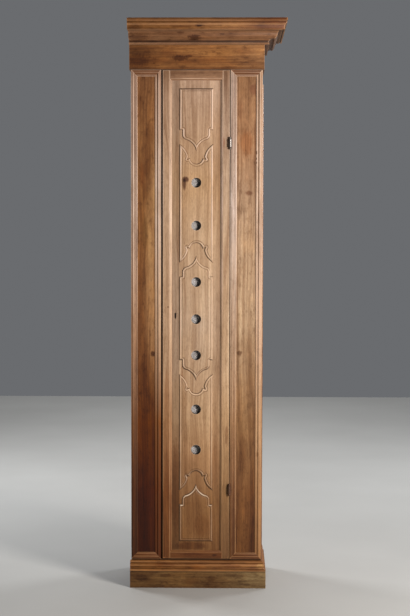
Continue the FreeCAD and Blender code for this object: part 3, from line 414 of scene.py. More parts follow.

# %% [markdown]
# ## Wood: rubbed edges, dirty corners and painted light
#
# Hands and dusters rub every edge down to bare wood, and dirt stays in the corners that they can't
# reach. Ambient occlusion measures how enclosed a point is. Measured inside the board it finds the
# edges, and measured outside it finds the corners, which it darkens with dirt and painted shade.
# Along a moulding the wear is also drawn as lines, since the hand always finds the same ones, and
# some lines paint a highlight or a shade where the lamp falls on a band or misses it.

# %% Wear, dirt and painted light
CORNER_DIRT_AND_SHADE = opaque(colour(58, 34, 20))
LINE_OF_DIRT_AND_SHADE = (0.16, 0.11, 0.08, 1.0)
CORNER_REACH = 14.0 * MM
LINE_CORE = 0.3
BARE_WOOD = tones({0: (150, 108, 70), 150: (158, 114, 74), 500: (180, 138, 100), 700: (196, 154, 116),
                   1130: (212, 176, 146), 1640: (232, 204, 184), 2140: (216, 180, 152),
                   2350: (190, 140, 96)})
SHADED_BARE_WOOD = tones({0: (84, 46, 22), 150: (92, 50, 24), 500: (108, 64, 34), 700: (124, 80, 50),
                          1130: (184, 146, 116), 1640: (232, 204, 184), 2140: (206, 170, 146)})


def rubbed_wood(graph, base, axes, noises, wear, reach, lines, carved, bare):
    """Bare wood on edges and along worn lines and painted highlights, and dark lines of dirt and painted
    shade where the strength is negative.
    """
    edge = graph.add("ShaderNodeAmbientOcclusion", {"Distance": reach * MM}, 1, samples=8, inside=True,
                     only_local=True)
    edge = graph.sum("MULTIPLY", graph.range(edge, 0.93, 0.60), wear)
    # The carving's attribute of wear also brings its painted highlight.
    if carved:
        edge = graph.sum("MAXIMUM", edge, graph.attribute("rubbed"))
    # Lines add bare wood, as wear and as painted highlight, and dark lines of dirt and painted shade.
    for axis, middle, half_width, strength in lines:
        away = graph.sum("ABSOLUTE", graph.sum("SUBTRACT", axes[axis], middle * MM))
        near = graph.range(away, half_width * MM, half_width * LINE_CORE * MM, 0.0, abs(strength))
        if strength > 0:
            edge = graph.sum("MAXIMUM", edge, near)
        else:
            base = graph.mix(near, base, LINE_OF_DIRT_AND_SHADE, "MULTIPLY")
    edge = graph.sum("MULTIPLY", edge, graph.range(noises["chalk"], 0.34, 0.56, 0.35, 1.0), clamp=True)
    return graph.mix(edge, base, by_height(graph, axes, bare))


def dirt_and_shade_in_corners(graph, base, noises, grime, carved):
    """Dirt and painted shade in the corners, more of it along the dark streaks."""
    # Ambient occlusion outside the board darkens the corners with dirt and painted shade.
    open_air = graph.add("ShaderNodeAmbientOcclusion", {"Distance": CORNER_REACH}, 1, samples=8)
    corner = graph.range(open_air, 0.80, 0.25)
    corner = graph.sum("MULTIPLY", corner, graph.range(noises["streaks"], 0.25, 0.65, 0.6, 1.2))
    corner = graph.sum("MULTIPLY", corner, grime, clamp=True)
    # On the carving the 'dirt' attribute brings its dirt and painted shade.
    if carved:
        corner = graph.sum("MAXIMUM", corner, graph.attribute("dirt"))
    return graph.mix(corner, base, CORNER_DIRT_AND_SHADE)


print(f"dirt reaches {CORNER_REACH / MM:.0f} mm out of a corner")

# %% [markdown]
# ## Wood: the whole recipe
#
# The steps above are laid over each other as on a real board: colour and grain, stains, rubbed
# edges with painted highlights, gouges, and dirt with painted shade. End grain drinks the finish and
# is darker, so a face that looks along the grain is tinted. The streaks also steer the gloss and a
# small bump.

# %% Wood
END_GRAIN = (0.55, 0.50, 0.46, 1.0)
WOOD_SHINE = 0.24


def wood(name, grain, shades, seed, blotch=0.3, grime=0.45, wear=0.9, reach=7.0, marks=(), margins=(),
         lines=(), carved=False, bare=BARE_WOOD, contrast=1.0):
    """Stripped wood. grain is the axis it runs along, and shades are its tones by height.

    blotch is how patchy the old finish is, grime is how much dirt and painted shade darken the
    corners, wear is how pale the edges are, and reach is how wide. margins are (from, to, tint): the
    tint comes in between two places in x. lines are (axis, place, half width, strength), along a worn
    arris, a dirty corner, or a band where a highlight or a shade is painted. A carved board brings its
    own worn crests with painted highlights and its dirty grooves with painted shade as attributes. bare
    is the tones of worn bare wood by height."""
    graph = Graph(name)
    place = graph.place()
    axes = graph.add("ShaderNodeSeparateXYZ", {0: place}).node.outputs
    noises = wood_noises(graph, axes, grain, seed)
    base = grained(graph, by_height(graph, axes, shades), noises, blotch, contrast)
    for start, end, tint in margins:
        base = graph.mix(graph.range(axes[0], start * MM, end * MM), base, opaque(tint), "MULTIPLY")
    base = paint_marks(graph, place, base, marks, deep=False)
    base = rubbed_wood(graph, base, axes, noises, wear, reach, lines, carved, bare)
    base = paint_marks(graph, place, base, marks, deep=True)
    base = dirt_and_shade_in_corners(graph, base, noises, grime, carved)

    facing = graph.add("ShaderNodeSeparateXYZ", {0: graph.add("ShaderNodeTexCoord", output=1)}).node.outputs
    end_face = graph.range(graph.sum("ABSOLUTE", facing["xyz".index(grain)]), 0.85, 0.98, 0.0, 0.5)
    graph.fill(graph.shader.inputs["Base Color"], graph.mix(end_face, base, END_GRAIN, "MULTIPLY"))
    streaks = noises["streaks"]
    graph.fill(graph.shader.inputs["Roughness"], graph.range(streaks, 0.2, 0.8, 0.60, 0.44))
    graph.shader.inputs["Specular IOR Level"].default_value = WOOD_SHINE
    relief = graph.sum("MULTIPLY_ADD", streaks, 0.9, noises["fibres"])
    relief = graph.sum("MULTIPLY_ADD", noises["pores"], -0.6, relief)
    bump = graph.add("ShaderNodeBump", {"Strength": 0.35, "Distance": 0.0005, "Height": relief})
    graph.fill(graph.shader.inputs["Normal"], bump)
    return graph.material


print("wood recipe ready")

# %% [markdown]
# ## The colours of the boards
#
# The front was stripped by hand, so its middle is pale and dry, and the foot and the head kept more
# of the dark old finish. Each finish below gives the colour at some heights in millimetres, and how
# blotchy, worn and grimy the board is. Boards of one kind share a finish, never a pattern.

# %% Finishes
def finish_of(shades, **settings):
    """Tones by height, and the settings of wood() that differ from its own."""
    return tones(shades), settings


FINISHES = {
    "field": finish_of({150: (120, 81, 46), 350: (133, 93, 56), 550: (162, 122, 86), 700: (175, 140, 106),
        1100: (180, 151, 126), 1400: (188, 156, 126), 1700: (185, 149, 114), 2050: (187, 155, 131)},
        blotch=0.24, wear=0.35, contrast=1.15),
    "lock_stile": finish_of({150: (101, 59, 28), 400: (117, 70, 34), 700: (156, 114, 78),
        1073: (200, 169, 140), 1404: (207, 177, 150), 2026: (177, 144, 119), 2148: (134, 100, 74)},
        blotch=0.35, reach=4.0, contrast=1.4),
    "hinge_stile": finish_of({150: (125, 90, 58), 400: (141, 105, 69), 700: (175, 139, 103),
        1100: (203, 173, 143), 1400: (202, 172, 144), 2000: (172, 143, 122), 2149: (134, 100, 76)},
        blotch=0.35, reach=4.0, contrast=1.4),
    "right_panel": finish_of({150: (98, 59, 27), 400: (111, 71, 38), 700: (145, 107, 71),
        1100: (177, 146, 116), 1640: (159, 126, 99), 1850: (153, 111, 78), 2100: (135, 95, 64)},
        blotch=0.6, contrast=1.7),
    "right_inner": finish_of({150: (86, 49, 20), 400: (100, 61, 32), 700: (134, 98, 67),
        1100: (156, 128, 106), 1640: (181, 161, 151), 2100: (154, 131, 120)},
        blotch=0.4, reach=3.0, contrast=1.4),
    "right_outer": finish_of({150: (160, 112, 72), 400: (171, 125, 85), 700: (197, 157, 121),
        1100: (206, 170, 146), 1640: (204, 168, 141), 2100: (170, 127, 94)},
        blotch=0.5, reach=3.0, contrast=1.4, grime=0.15),
    "left_panel": finish_of({150: (57, 19, 0), 400: (66, 23, 0), 700: (93, 45, 4), 1100: (125, 80, 44),
        1640: (133, 87, 47), 1900: (135, 91, 53), 2100: (125, 82, 49)}, blotch=0.75, contrast=1.7),
    "left_outer": finish_of({150: (60, 29, 8), 400: (68, 33, 9), 700: (93, 55, 27), 1100: (135, 98, 71),
        1640: (155, 127, 109), 2100: (147, 118, 101)},
        blotch=0.4, reach=3.0, contrast=1.4, bare=SHADED_BARE_WOOD),
    "left_inner": finish_of({150: (91, 40, 4), 400: (103, 45, 7), 700: (152, 91, 37),
        1100: (248, 213, 178), 1640: (204, 172, 148), 2100: (148, 107, 81)},
        blotch=0.35, reach=3.0, contrast=1.4, bare=SHADED_BARE_WOOD, grime=0.1),
    "door_head": finish_of({0: (138, 102, 76)}, blotch=0.5, reach=4.0, wear=0.5, contrast=1.4),
    "pilaster_rail": finish_of({0: (92, 52, 26), 2000: (110, 70, 44)}, blotch=0.5, reach=3.0, wear=0.6),
    "frieze": finish_of({0: (131, 85, 45)}, blotch=0.85, reach=3.0, wear=0.35, contrast=1.7),
    "crown": finish_of({0: (137, 92, 51)}, blotch=0.8, reach=3.5, wear=0.5, contrast=1.5),
    "bed": finish_of({0: (131, 92, 63)}, blotch=0.8, reach=3.5, wear=0.4, contrast=1.5),
    "base_moulding": finish_of({0: (138, 90, 46)},
        blotch=0.75, reach=3.5, wear=0.6, grime=0.7, contrast=1.5),
    "plinth": finish_of({0: (102, 72, 39)}, blotch=0.9, reach=4.0, wear=0.5, grime=0.6, contrast=1.7),
    # The set-back threshold rail and the door stop are nearly black, as painted shade.
    "shaded_recess": finish_of({0: (52, 32, 18)}, wear=0.1),
    "side": finish_of({100: (104, 66, 38), 900: (136, 92, 58), 1700: (140, 96, 62), 2200: (120, 80, 50)},
        blotch=0.7, reach=4.0, wear=0.8),
    "inside": finish_of({0: (150, 116, 84)}, blotch=0.25, wear=0.3),
    "back": finish_of({0: (126, 102, 80)}, blotch=0.5, wear=0.4),
    # The walls of the vent holes: dark brown, as painted shade.
    "shaded_hole_wall": finish_of({0: (40, 26, 16), 1000: (52, 36, 26)}, wear=0.0),
}
print(f"{len(FINISHES)} finishes")

# %% [markdown]
# ## Which board has which wood
#
# The streaks run along a board, so the grain's axis follows from how the board lies: the front's
# rails and the shelves from side to side, the sides' rails and the mouldings' returns from front to
# back, stiles, posts and panels upright.

# %% Boards by grain
WOOD_PIECES = {
    "x": {
        "plinth_front": "plinth", "base_moulding_front": "base_moulding", "threshold_rail": "shaded_recess",
        "floor_board": "inside", "pilaster_left_top_rail": "pilaster_rail",
        "pilaster_left_bottom_rail": "pilaster_rail", "pilaster_right_top_rail": "pilaster_rail",
        "pilaster_right_bottom_rail": "pilaster_rail", "back_top_rail": "back",
        "back_bottom_rail": "back", "shelf_lower": "inside", "shelf_middle": "inside",
        "shelf_upper": "inside", "frieze_front": "frieze", "frieze_back": "back",
        "bed_moulding_front": "bed", "crown_front": "crown", "top_board": "back",
        "door_top_rail": "door_head", "door_bottom_rail": "lock_stile",
    },
    "y": {
        "plinth_right": "plinth", "base_moulding_right": "base_moulding", "side_left_top_rail": "side",
        "side_left_bottom_rail": "side", "side_right_top_rail": "side", "side_right_bottom_rail": "side",
        "shelf_cleats": "inside", "frieze_left": "back", "frieze_right": "frieze",
        "bed_moulding_right": "bed", "crown_right": "crown",
    },
    "z": {
        "pilaster_left_outer_stile": "left_outer", "pilaster_left_inner_stile": "left_inner",
        "pilaster_left_panel": "left_panel", "pilaster_right_outer_stile": "right_outer",
        "pilaster_right_inner_stile": "right_inner", "pilaster_right_panel": "right_panel",
        "side_left_front_post": "side", "side_left_rear_post": "side", "side_left_panel": "side",
        "side_left_moulding": "side", "side_right_front_post": "side", "side_right_rear_post": "side",
        "side_right_panel": "side", "side_right_moulding": "side", "back_board_1": "back",
        "back_board_2": "back", "back_board_3": "back", "door_stop": "shaded_recess",
        "door_lock_stile": "lock_stile", "door_hinge_stile": "hinge_stile",
    },
}
print({grain: len(boards) for grain, boards in WOOD_PIECES.items()})

# %% [markdown]
# ## Marks of age, and two painted shades
#
# Knots, stains and a filled patch sit at fixed places on their boards, as they do on the real ones.
# A knot is dark and small, a water stain is wide and faint, and a chip is paler than the wood round
# it. Two dark marks on the carved panel are painted shade: a shadow under the lowest field, and a
# dark round the keyhole that makes it read wider. Each row gives a mark's middle and half its size
# in millimetres, its tint, how strong it is and how uneven its edge is.

# %% Marks on the boards
KNOT = (0.30, 0.22, 0.18)
STAIN = (0.52, 0.42, 0.36)
CHIP = (2.1, 2.4, 2.7)
MARKS = {  # middle, half size, tint, strength, uneven edge, deep
    "carved_panel": [
        ((-90, -126, 1703), (19, 40, 15), (0.26, 0.18, 0.16), 1.0, 0.25),
        ((-95, -126, 1684), (10, 40, 34), (0.3, 0.22, 0.19), 1.0, 0.25),
        ((-40, -126, 1030), (40, 40, 90), (0.86, 0.86, 0.88), 0.6),
        ((-60, -126, 300), (34, 40, 110), (0.8, 0.74, 0.7), 0.7),
        ((-128, -126, 430), (24, 40, 270), (0.6, 0.46, 0.34), 0.8),
        # Painted shadow under the foot of the lowest field.
        ((-66, -126, 172), (90, 40, 24), (0.5, 0.38, 0.28), 0.9),
        ((-20, -126, 260), (44, 40, 60), (0.8, 0.68, 0.56), 0.7),
        ((-118, -126, 1420), (9, 40, 90), (0.72, 0.6, 0.52), 0.6),
        ((-104, -126, 900), (7, 40, 60), (0.66, 0.54, 0.46), 0.7),
        ((34, -126, 520), (12, 40, 140), (0.72, 0.62, 0.54), 0.6),
        ((20, -126, 1110), (4, 40, 6), KNOT, 0.7),
        # Painted shade round the keyhole, so that its dark reads wider.
        ((-131.75, -126, 1138), (6, 40, 17), (0.3, 0.22, 0.18), 0.9, 0.2),
        ((-126, -126, 1800), (8, 40, 120), (0.8, 0.7, 0.62), 0.5)],
    "door_hinge_stile": [
        ((62, -126, 1856), (12, 40, 42), (0.72, 0.46, 0.36), 0.9),
        ((82, -126, 640), (9, 40, 60), STAIN, 0.7)],
    "door_lock_stile": [
        ((-162, -126, 1175), (4, 40, 5), KNOT, 0.9), ((-178, -126, 124), (6, 40, 4), CHIP),
        ((-165, -126, 480), (9, 40, 150), (0.78, 0.66, 0.55), 0.6),
        ((-168, -126, 820), (12, 40, 110), (0.86, 0.7, 0.56), 0.5)],
    "door_bottom_rail": [
        ((33, -126, 135), (15, 40, 6), KNOT, 0.85),
        ((-60, -126, 138), (60, 40, 8), (0.62, 0.48, 0.36), 0.7)],
    "frieze_front": [
        ((-114, -135, 2198), (44, 40, 15), (0.34, 0.25, 0.2), 0.95, 0.5),
        ((-74, -135, 2206), (18, 40, 8), (0.45, 0.34, 0.28), 0.8, 0.5),
        ((-160, -135, 2222), (46, 40, 12), (0.62, 0.5, 0.42), 0.6, 0.5),
        ((-249, -135, 2224), (20, 40, 9), STAIN, 0.7, 0.5),
        ((-285, -135, 2190), (55, 40, 34), STAIN, 0.8, 0.5),
        ((60, -135, 2176), (110, 40, 14), (1.25, 1.3, 1.3), 0.7, 0.5),
        ((150, -135, 2225), (60, 40, 18), (0.72, 0.62, 0.56), 0.6, 0.5)],
    "crown_front": [
        ((-31, -215, 2321), (22, 60, 9), (0.22, 0.15, 0.11), 1.0, 0.5),
        ((-12, -215, 2327), (18, 60, 3), STAIN, 0.7, 0.5),
        ((-294, -205, 2313), (40, 60, 20), (0.55, 0.5, 0.52), 0.85, 0.4),
        ((-100, -205, 2314), (50, 60, 5), (0.62, 0.5, 0.42), 0.7, 0.5),
        ((90, -205, 2312), (40, 60, 5), (0.66, 0.54, 0.46), 0.6, 0.5)],
    "bed_moulding_front": [
        ((-53, -170, 2277), (34, 60, 13), (0.3, 0.22, 0.18), 0.95, 0.5),
        ((-110, -190, 2294), (20, 60, 5), (0.5, 0.4, 0.34), 0.8, 0.5),
        ((60, -180, 2288), (14, 60, 5), KNOT, 0.6, 0.5),
        ((-280, -180, 2278), (60, 60, 20), STAIN, 0.7, 0.5)],
    "pilaster_left_panel": [
        ((-206, -118, 1300), (70, 60, 640), (1.7, 2.25, 3.1), 0.9, 0.15),
        ((-224, -118, 980), (13, 40, 15), KNOT),
        ((-258, -118, 1480), (16, 40, 90), (0.62, 0.62, 0.52), 0.7),
        ((-238, -118, 1890), (26, 40, 60), (0.66, 0.56, 0.5), 0.6),
        ((-270, -118, 1720), (12, 40, 70), (0.85, 0.62, 0.42), 0.6)],
    "pilaster_right_panel": [
        ((134, -118, 984), (14, 40, 15), (0.42, 0.33, 0.27)),
        ((172, -118, 1647), (20, 40, 14), (0.5, 0.36, 0.3), 0.9),
        ((190, -118, 2070), (22, 40, 32), (0.56, 0.4, 0.4), 0.7),
        ((160, -118, 1850), (34, 40, 70), (0.86, 0.62, 0.42), 0.7),
        ((135, -118, 1990), (14, 40, 60), (0.68, 0.54, 0.48), 0.5),
        ((150, -118, 560), (22, 40, 120), (0.62, 0.5, 0.4), 0.6)],
    "pilaster_right_outer_stile": [
        ((203, -120, 1812), (4, 40, 11), KNOT, 0.9, 0.35, True),
        ((202, -120, 1788), (3.5, 40, 6), KNOT, 0.9, 0.35, True),
        ((203, -120, 1771), (3.5, 40, 6), KNOT, 0.8, 0.35, True),
        ((199, -120, 1026), (3.5, 40, 24), KNOT, 0.8, 0.35, True),
        ((214, -120, 1560), (5, 40, 40), (0.66, 0.58, 0.56), 0.6),
        ((210, -120, 560), (9, 40, 14), (0.5, 0.36, 0.26), 0.7),
        ((204, -120, 700), (6, 40, 60), (0.66, 0.5, 0.4), 0.6)],
    "plinth_front": [
        ((-60, -148, 30), (50, 40, 22), (0.62, 0.48, 0.36), 0.7, 0.5),
        ((-270, -148, 44), (44, 40, 16), STAIN, 0.8, 0.5),
        ((-170, -148, 52), (40, 40, 10), (0.56, 0.46, 0.36), 0.8, 0.5),
        ((20, -148, 40), (36, 40, 14), (0.6, 0.48, 0.38), 0.8, 0.5),
        ((120, -148, 54), (60, 40, 10), (0.62, 0.54, 0.46), 0.7, 0.5),
        ((-120, -148, 14), (90, 40, 9), (1.35, 1.45, 1.5), 0.7, 0.5)],
    "base_moulding_front": [
        ((-180, -148, 96), (60, 40, 12), (0.62, 0.46, 0.34), 0.8, 0.5),
        ((-40, -148, 88), (40, 40, 16), (1.25, 1.15, 0.95), 0.7, 0.5),
        ((110, -148, 92), (50, 40, 10), (0.66, 0.5, 0.4), 0.7, 0.5),
        ((225, -148, 92), (22, 40, 16), (1.7, 2.2, 2.6), 0.8, 0.5)],
}
print(f"{sum(len(rows) for rows in MARKS.values())} marks on {len(MARKS)} boards")

# %% [markdown]
# ## Worn arrises, dirty corners and painted light
#
# The hand finds the same edges for a century: the arris along a door frame and the fillets of a
# pilaster. They are rubbed to bare wood, while the hollows between them stay dark. On the head and
# the base most lines are painted light: pale ones are painted highlights on bands that face the lamp,
# and dark ones painted shade on bands turned from it and painted shadow under the lips. Each line
# lies along one arris or hollow. On the door it is measured from its board's box, and on the head
# and the base it is given as a height.

# %% Lines of wear, dirt and painted light
ACROSS, UPRIGHT = 0, 2
DOOR_STILE_FLAT, DOOR_TOP_FLAT, DOOR_BOTTOM_FLAT = 29.5, 33.0, 26.0
DOOR_SLOPE = 33.5


def box_mm(node):
    """A CAD node's lowest and highest corners in millimetres."""
    return [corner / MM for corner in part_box(node)]


# A positive strength draws a pale line and a negative one a dark line; on the door they are wear, and the
# notes below say where they are painted light and shade.
WEAR_AND_LIGHT_LINES = {  # axis, place on it, half the width, strength (negative for dirt)
    "door_lock_stile": [(ACROSS, box_mm("door_lock_stile")[0].x + DOOR_STILE_FLAT, 2.2, 0.85)],
    # On the hinge stile both lines also paint light on the moulding's slope, which faces away from the lamp
    # and lies in shade; the first is also the worn arris.
    "door_hinge_stile": [(ACROSS, box_mm("door_hinge_stile")[1].x - DOOR_STILE_FLAT, 2.8, 1.0),
                         (ACROSS, box_mm("door_hinge_stile")[1].x - DOOR_SLOPE, 3.0, 0.7)],
    "door_top_rail": [(UPRIGHT, box_mm("door_top_rail")[1].z - DOOR_TOP_FLAT, 2.4, 0.8)],
    "door_bottom_rail": [(UPRIGHT, box_mm("door_bottom_rail")[0].z + DOOR_BOTTOM_FLAT, 2.4, 0.7)],
    # On the crown and its return the pale lines are painted highlights on bands that face the lamp, and the
    # dark lines painted shade on bands turned from it.
    "crown_front": [(UPRIGHT, 2345, 3.5, -0.4), (UPRIGHT, 2338, 3.0, 0.45), (UPRIGHT, 2331.5, 2.8, -0.35),
                    (UPRIGHT, 2324.5, 4.0, 0.5)],
    "crown_right": [(UPRIGHT, 2331.5, 2.8, -0.6), (UPRIGHT, 2324.5, 4.5, 0.2)],
    # On the bed moulding the dark line at 2263 is dirt and painted shadow in the hollow under it, and the one
    # at 2300 painted shadow under the crown.
    "bed_moulding_front": [(UPRIGHT, 2263, 8.0, -0.85), (UPRIGHT, 2254, 3.0, 0.1),
                           (UPRIGHT, 2300, 2.5, -0.5)],
    "bed_moulding_right": [(UPRIGHT, 2263, 7.5, -0.7), (UPRIGHT, 2300, 2.5, -0.5)],
    # The frieze's dark line at its foot is painted shade in the gap over the door.
    "frieze_front": [(UPRIGHT, 2152.0, 3.0, -0.7)],
    # On the base moulding the pale lines are painted highlights on faces turned up to the lamp and the dark
    # ones painted shade on faces turned down; the plinth's dark line is painted shadow under the base
    # moulding.
    "base_moulding_front": [(UPRIGHT, 109, 3.0, 0.6), (UPRIGHT, 102.6, 2.6, -0.5), (UPRIGHT, 94, 3.5, 0.6),
                            (UPRIGHT, 81, 3.5, -0.5), (UPRIGHT, 74.5, 2.4, 0.6)],
    "plinth_front": [(UPRIGHT, 69, 4.0, -0.6)],
}
print(f"lines on {len(WEAR_AND_LIGHT_LINES)} boards of the door, the head and the base")

# %% [markdown]
# ## Lines on the pilasters
#
# Each pilaster is a frame of four boards with one moulding, so its lines follow one rule: the outer
# edge, the arris of the flat, the fillet, and the corner at the panel. A table says how strong each
# is on each member, and how much wider than usual; the wider lines on the left inner and the right
# outer stile also paint light on the slopes that face away from the lamp. The boards beside the
# door's gaps get a dark line too, of dirt and painted shade in the gap.

# %% Lines on the pilasters and at the gaps
PILASTER_PLACES = ((1.0, 2.4), (9.8, 3.4), (20.5, 2.4), (26.0, 3.4))
PILASTER_WEAR_AND_LIGHT = {  # strength of the four lines, and how much wider than usual they are
    # The widening on the left inner and the right outer stile is painted light on slopes in shade.
    "left_outer": ((0, 0.9, 0.15, -0.8), 1.0), "left_inner": ((0.35, 1.0, 0.9, 0), 1.7),
    "right_inner": ((0.3, 0.3, 0.3, 0), 1.0), "right_outer": ((0.6, 0.7, 0.8, 0), 1.6),
    "top_rail": ((0, 0.2, 0.4, 0), 1.0), "bottom_rail": ((0, 0.5, 0.6, 0), 1.0),
}
# Dirt and painted shade along the door's gaps.
GAP_DIRT_AND_SHADE = -0.95
GAPS = {  # board: (is the gap at its high side, half the width of the dirt)
    "pilaster_left_inner_stile": (True, 1.9), "pilaster_right_inner_stile": (False, 1.2),
    "door_lock_stile": (False, 1.2), "door_hinge_stile": (True, 1.9),
}


def pilaster_lines(node, axis, from_low, worn):
    """The lines of one pilaster member, counted from its low or its high side."""
    low, high = box_mm(node)
    edge, way = (low[axis], 1) if from_low else (high[axis], -1)
    strengths, widening = worn
    return [(axis, edge + way * place, half_width * widening, strength)
            for (place, half_width), strength in zip(PILASTER_PLACES, strengths) if strength]


for side, outer_low in (("left", True), ("right", False)):
    for member, from_low in (("outer", outer_low), ("inner", not outer_low)):
        board = f"pilaster_{side}_{member}_stile"
        WEAR_AND_LIGHT_LINES[board] = pilaster_lines(board, ACROSS, from_low, PILASTER_WEAR_AND_LIGHT[f"{side}_{member}"])
    for member, from_low in (("top_rail", False), ("bottom_rail", True)):
        board = f"pilaster_{side}_{member}"
        WEAR_AND_LIGHT_LINES[board] = pilaster_lines(board, UPRIGHT, from_low, PILASTER_WEAR_AND_LIGHT[member])
for board, (gap_high, half_width) in GAPS.items():
    WEAR_AND_LIGHT_LINES[board].append((ACROSS, box_mm(board)[gap_high].x, half_width, GAP_DIRT_AND_SHADE))
print(f"{sum(len(found) for found in WEAR_AND_LIGHT_LINES.values())} lines of wear and dirt")

# %% [markdown]
# ## Every board gets its own wood
#
# One loop makes a material for each board from its finish, its marks and its lines. The count of
# boards is the seed of the pattern. A few boards are tinted darker or paler towards one end, and the
# returns of the crown and the bed moulding darker and cooler all over.

# %% Dress the boards
SHADES = {  # from and to in x, and the tint that comes in between
    "frieze_front": [(-150.0, -290.0, (0.51, 0.47, 0.44)), (60.0, 220.0, (1.10, 1.24, 1.62))],
    "plinth_front": [(0.0, 230.0, (1.4, 1.8, 2.5))],
    "crown_front": [(80.0, 240.0, (0.57, 0.39, 0.19))],
    "crown_right": [(190.0, 215.0, (0.54, 0.62, 0.84))],
    "bed_moulding_right": [(190.0, 215.0, (0.58, 0.68, 0.92))],
}


def dress(node, material):
    """Gives a CAD node its material."""
    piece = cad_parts[node]
    if piece.material_slots:
        for material_slot in piece.material_slots:
            material_slot.material = material
    else:
        piece.data.materials.append(material)


def finished(board, grain, finish, seed, **more):
    """The wood of one board, with its marks and lines."""
    shades, settings = FINISHES[finish]
    marks = [Mark(*row) for row in MARKS.get(board, ())]
    return wood(f"wood_{board}", grain, shades, seed, marks=marks, lines=WEAR_AND_LIGHT_LINES.get(board, ()),
                **settings, **more)


count = 0
for grain, boards in WOOD_PIECES.items():
    for board, finish in boards.items():
        count += 1
        dress(board, finished(board, grain, finish, count, margins=SHADES.get(board, ())))
print(f"{count} boards have their own wood")

# %% [markdown]
# ## Softened edges
#
# A hand-planed board never has a knife edge. A Bevel modifier rounds every edge sharper than a
# limit. The CAD mesh arrives as loose triangles, so a Weld modifier joins them first: without it
# the bevel would find no edges between faces.

# %% Weld and bevel on the boards
WELD_DISTANCE = 0.01 * MM
ROUNDING = {"crown": 1.4, "bed": 1.0, "frieze": 1.2, "plinth": 2.0, "base": 0.8, "side": 1.0, "shelf": 1.2}
SMALLEST_ROUNDING = 0.7
SHARP_ANGLE = math.radians(38)


def soften(piece, rounding):
    """Joins the triangles and rounds the sharp edges."""
    weld = piece.modifiers.new("weld", "WELD")
    weld.merge_threshold = WELD_DISTANCE
    bevel = piece.modifiers.new("bevel", "BEVEL")
    bevel.width = rounding * MM
    bevel.segments = 2
    bevel.limit_method = "ANGLE"
    bevel.angle_limit = SHARP_ANGLE
    bevel.use_clamp_overlap = True
    bevel.harden_normals = False


for node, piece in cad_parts.items():
    if not node.startswith(("hinge", "lock", "door_gauze", "door_panel")):
        soften(piece, ROUNDING.get(node.split("_")[0], SMALLEST_ROUNDING))
print("edges softened")

# %% [markdown]
# ## The carved door panel
#
# One long board fills the door. Its face is cut back round five raised fields, and each field is
# edged with a bead and a quirk, the narrow groove behind a bead. Where two fields meet, one ends in
# an ogee point and the next in a hollow that follows it, so an S-shaped channel runs between them.
#
# It could be cut with booleans, but their edges are hard to soften. Here the carving is a map of
# depths instead: a line runs round each field at every step of the profile, parallel to the outline,
# and a constrained triangulation fills the faces between the lines. The back, the tongue that sits
# in the door frame's groove, the vent holes and the keyhole close the board.

# %% Sizes of the fields
DOOR_FOOT = 121.0
DOOR_MIDDLE = -45.5
DOOR_FACE = -128.5
FIELD_HALF = 68.75
FIELD_FOOT = 72.0
FIELD_HEAD = 1954.0
RISE = FIELD_HEAD - FIELD_FOOT
TIPS = [FIELD_FOOT + RISE * share for share in (0.127, 0.360, 0.633, 0.866)]
VENTS = [FIELD_FOOT + RISE * share for share in (0.205, 0.295, 0.415, 0.495, 0.577, 0.701, 0.795)]
CHANNEL = 57.0
OGEE = {"side": 84.0, "ear": (57.0, 64.0), "knee": (38.0, 43.0), "radius": 65.0}
HOLLOW = {"corner": 80.0, "neck": (34.0, 29.0), "cusp": (39.0, 18.5), "lobe": (26.5, 23.0), "radius": 72.0}
print(f"five fields over {RISE:.0f} mm, tips at", [round(tip) for tip in TIPS])

# %% [markdown]
# ### Walking along an outline
#
# An outline is a row of corners joined by straight lines and arcs, as a carver draws it with a rule
# and compasses. The walk sets points along it: one each two millimetres on an arc, and on a straight
# line close together near its corners, where the parallel lines fold.

# %% Walk along lines and arcs
STEP_ON_CURVE = 2.0
STEP_ON_STRAIGHT = 40.0
NEAR_CORNER = (1.5, 3.0, 5.0, 7.5, 10.0, 13.0, 17.0, 24.0)


def rotated(arrow, angle):
    """A flat arrow turned by an angle, anticlockwise."""
    cos, sin = math.cos(angle), math.sin(angle)
    return Vector((arrow.x * cos - arrow.y * sin, arrow.x * sin + arrow.y * cos))


def walk(start, end, radius):
    """Points from start (included) to end (left out), on a line or on an arc.

    A positive radius bulges to the right of the way walked, a negative one to the left."""
    a, b = Vector(start), Vector(end)
    chord = b - a
    if radius is None:
        length = chord.length
        reaches = [reach for reach in NEAR_CORNER if reach < length / 2]
        steps = round(length / STEP_ON_STRAIGHT)
        middle = [length * k / steps for k in range(1, steps)]
        middle = [reach for reach in middle if NEAR_CORNER[-1] < reach < length - NEAR_CORNER[-1]]
        return [a + chord * (reach / length)
                for reach in [0.0] + reaches + middle + [length - reach for reach in reversed(reaches)]]
    side = Vector((chord.y, -chord.x)).normalized()
    size = abs(radius)
    bulge = 1 if radius > 0 else -1
    centre = (a + b) / 2 - side * bulge * math.sqrt(max(size * size - chord.length_squared / 4, 0.0))
    from_centre, to_centre = a - centre, b - centre
    sweep = math.atan2(from_centre.x * to_centre.y - from_centre.y * to_centre.x, from_centre.dot(to_centre))
    steps = max(2, round(abs(sweep) * size / STEP_ON_CURVE))
    return [centre + rotated(from_centre, sweep * k / steps) for k in range(steps)]


print("an arc of 100 mm radius over 50 mm takes", len(walk((0, 0), (50, 0), 100)), "steps")

# %% [markdown]
# ### The ends of the fields
#
# Three kinds of end make all five fields: a straight one at the foot and the head, an ogee point, and
# the hollow that faces it. Each is written once, for either way up, so the channel between a point
# and its hollow keeps its width.

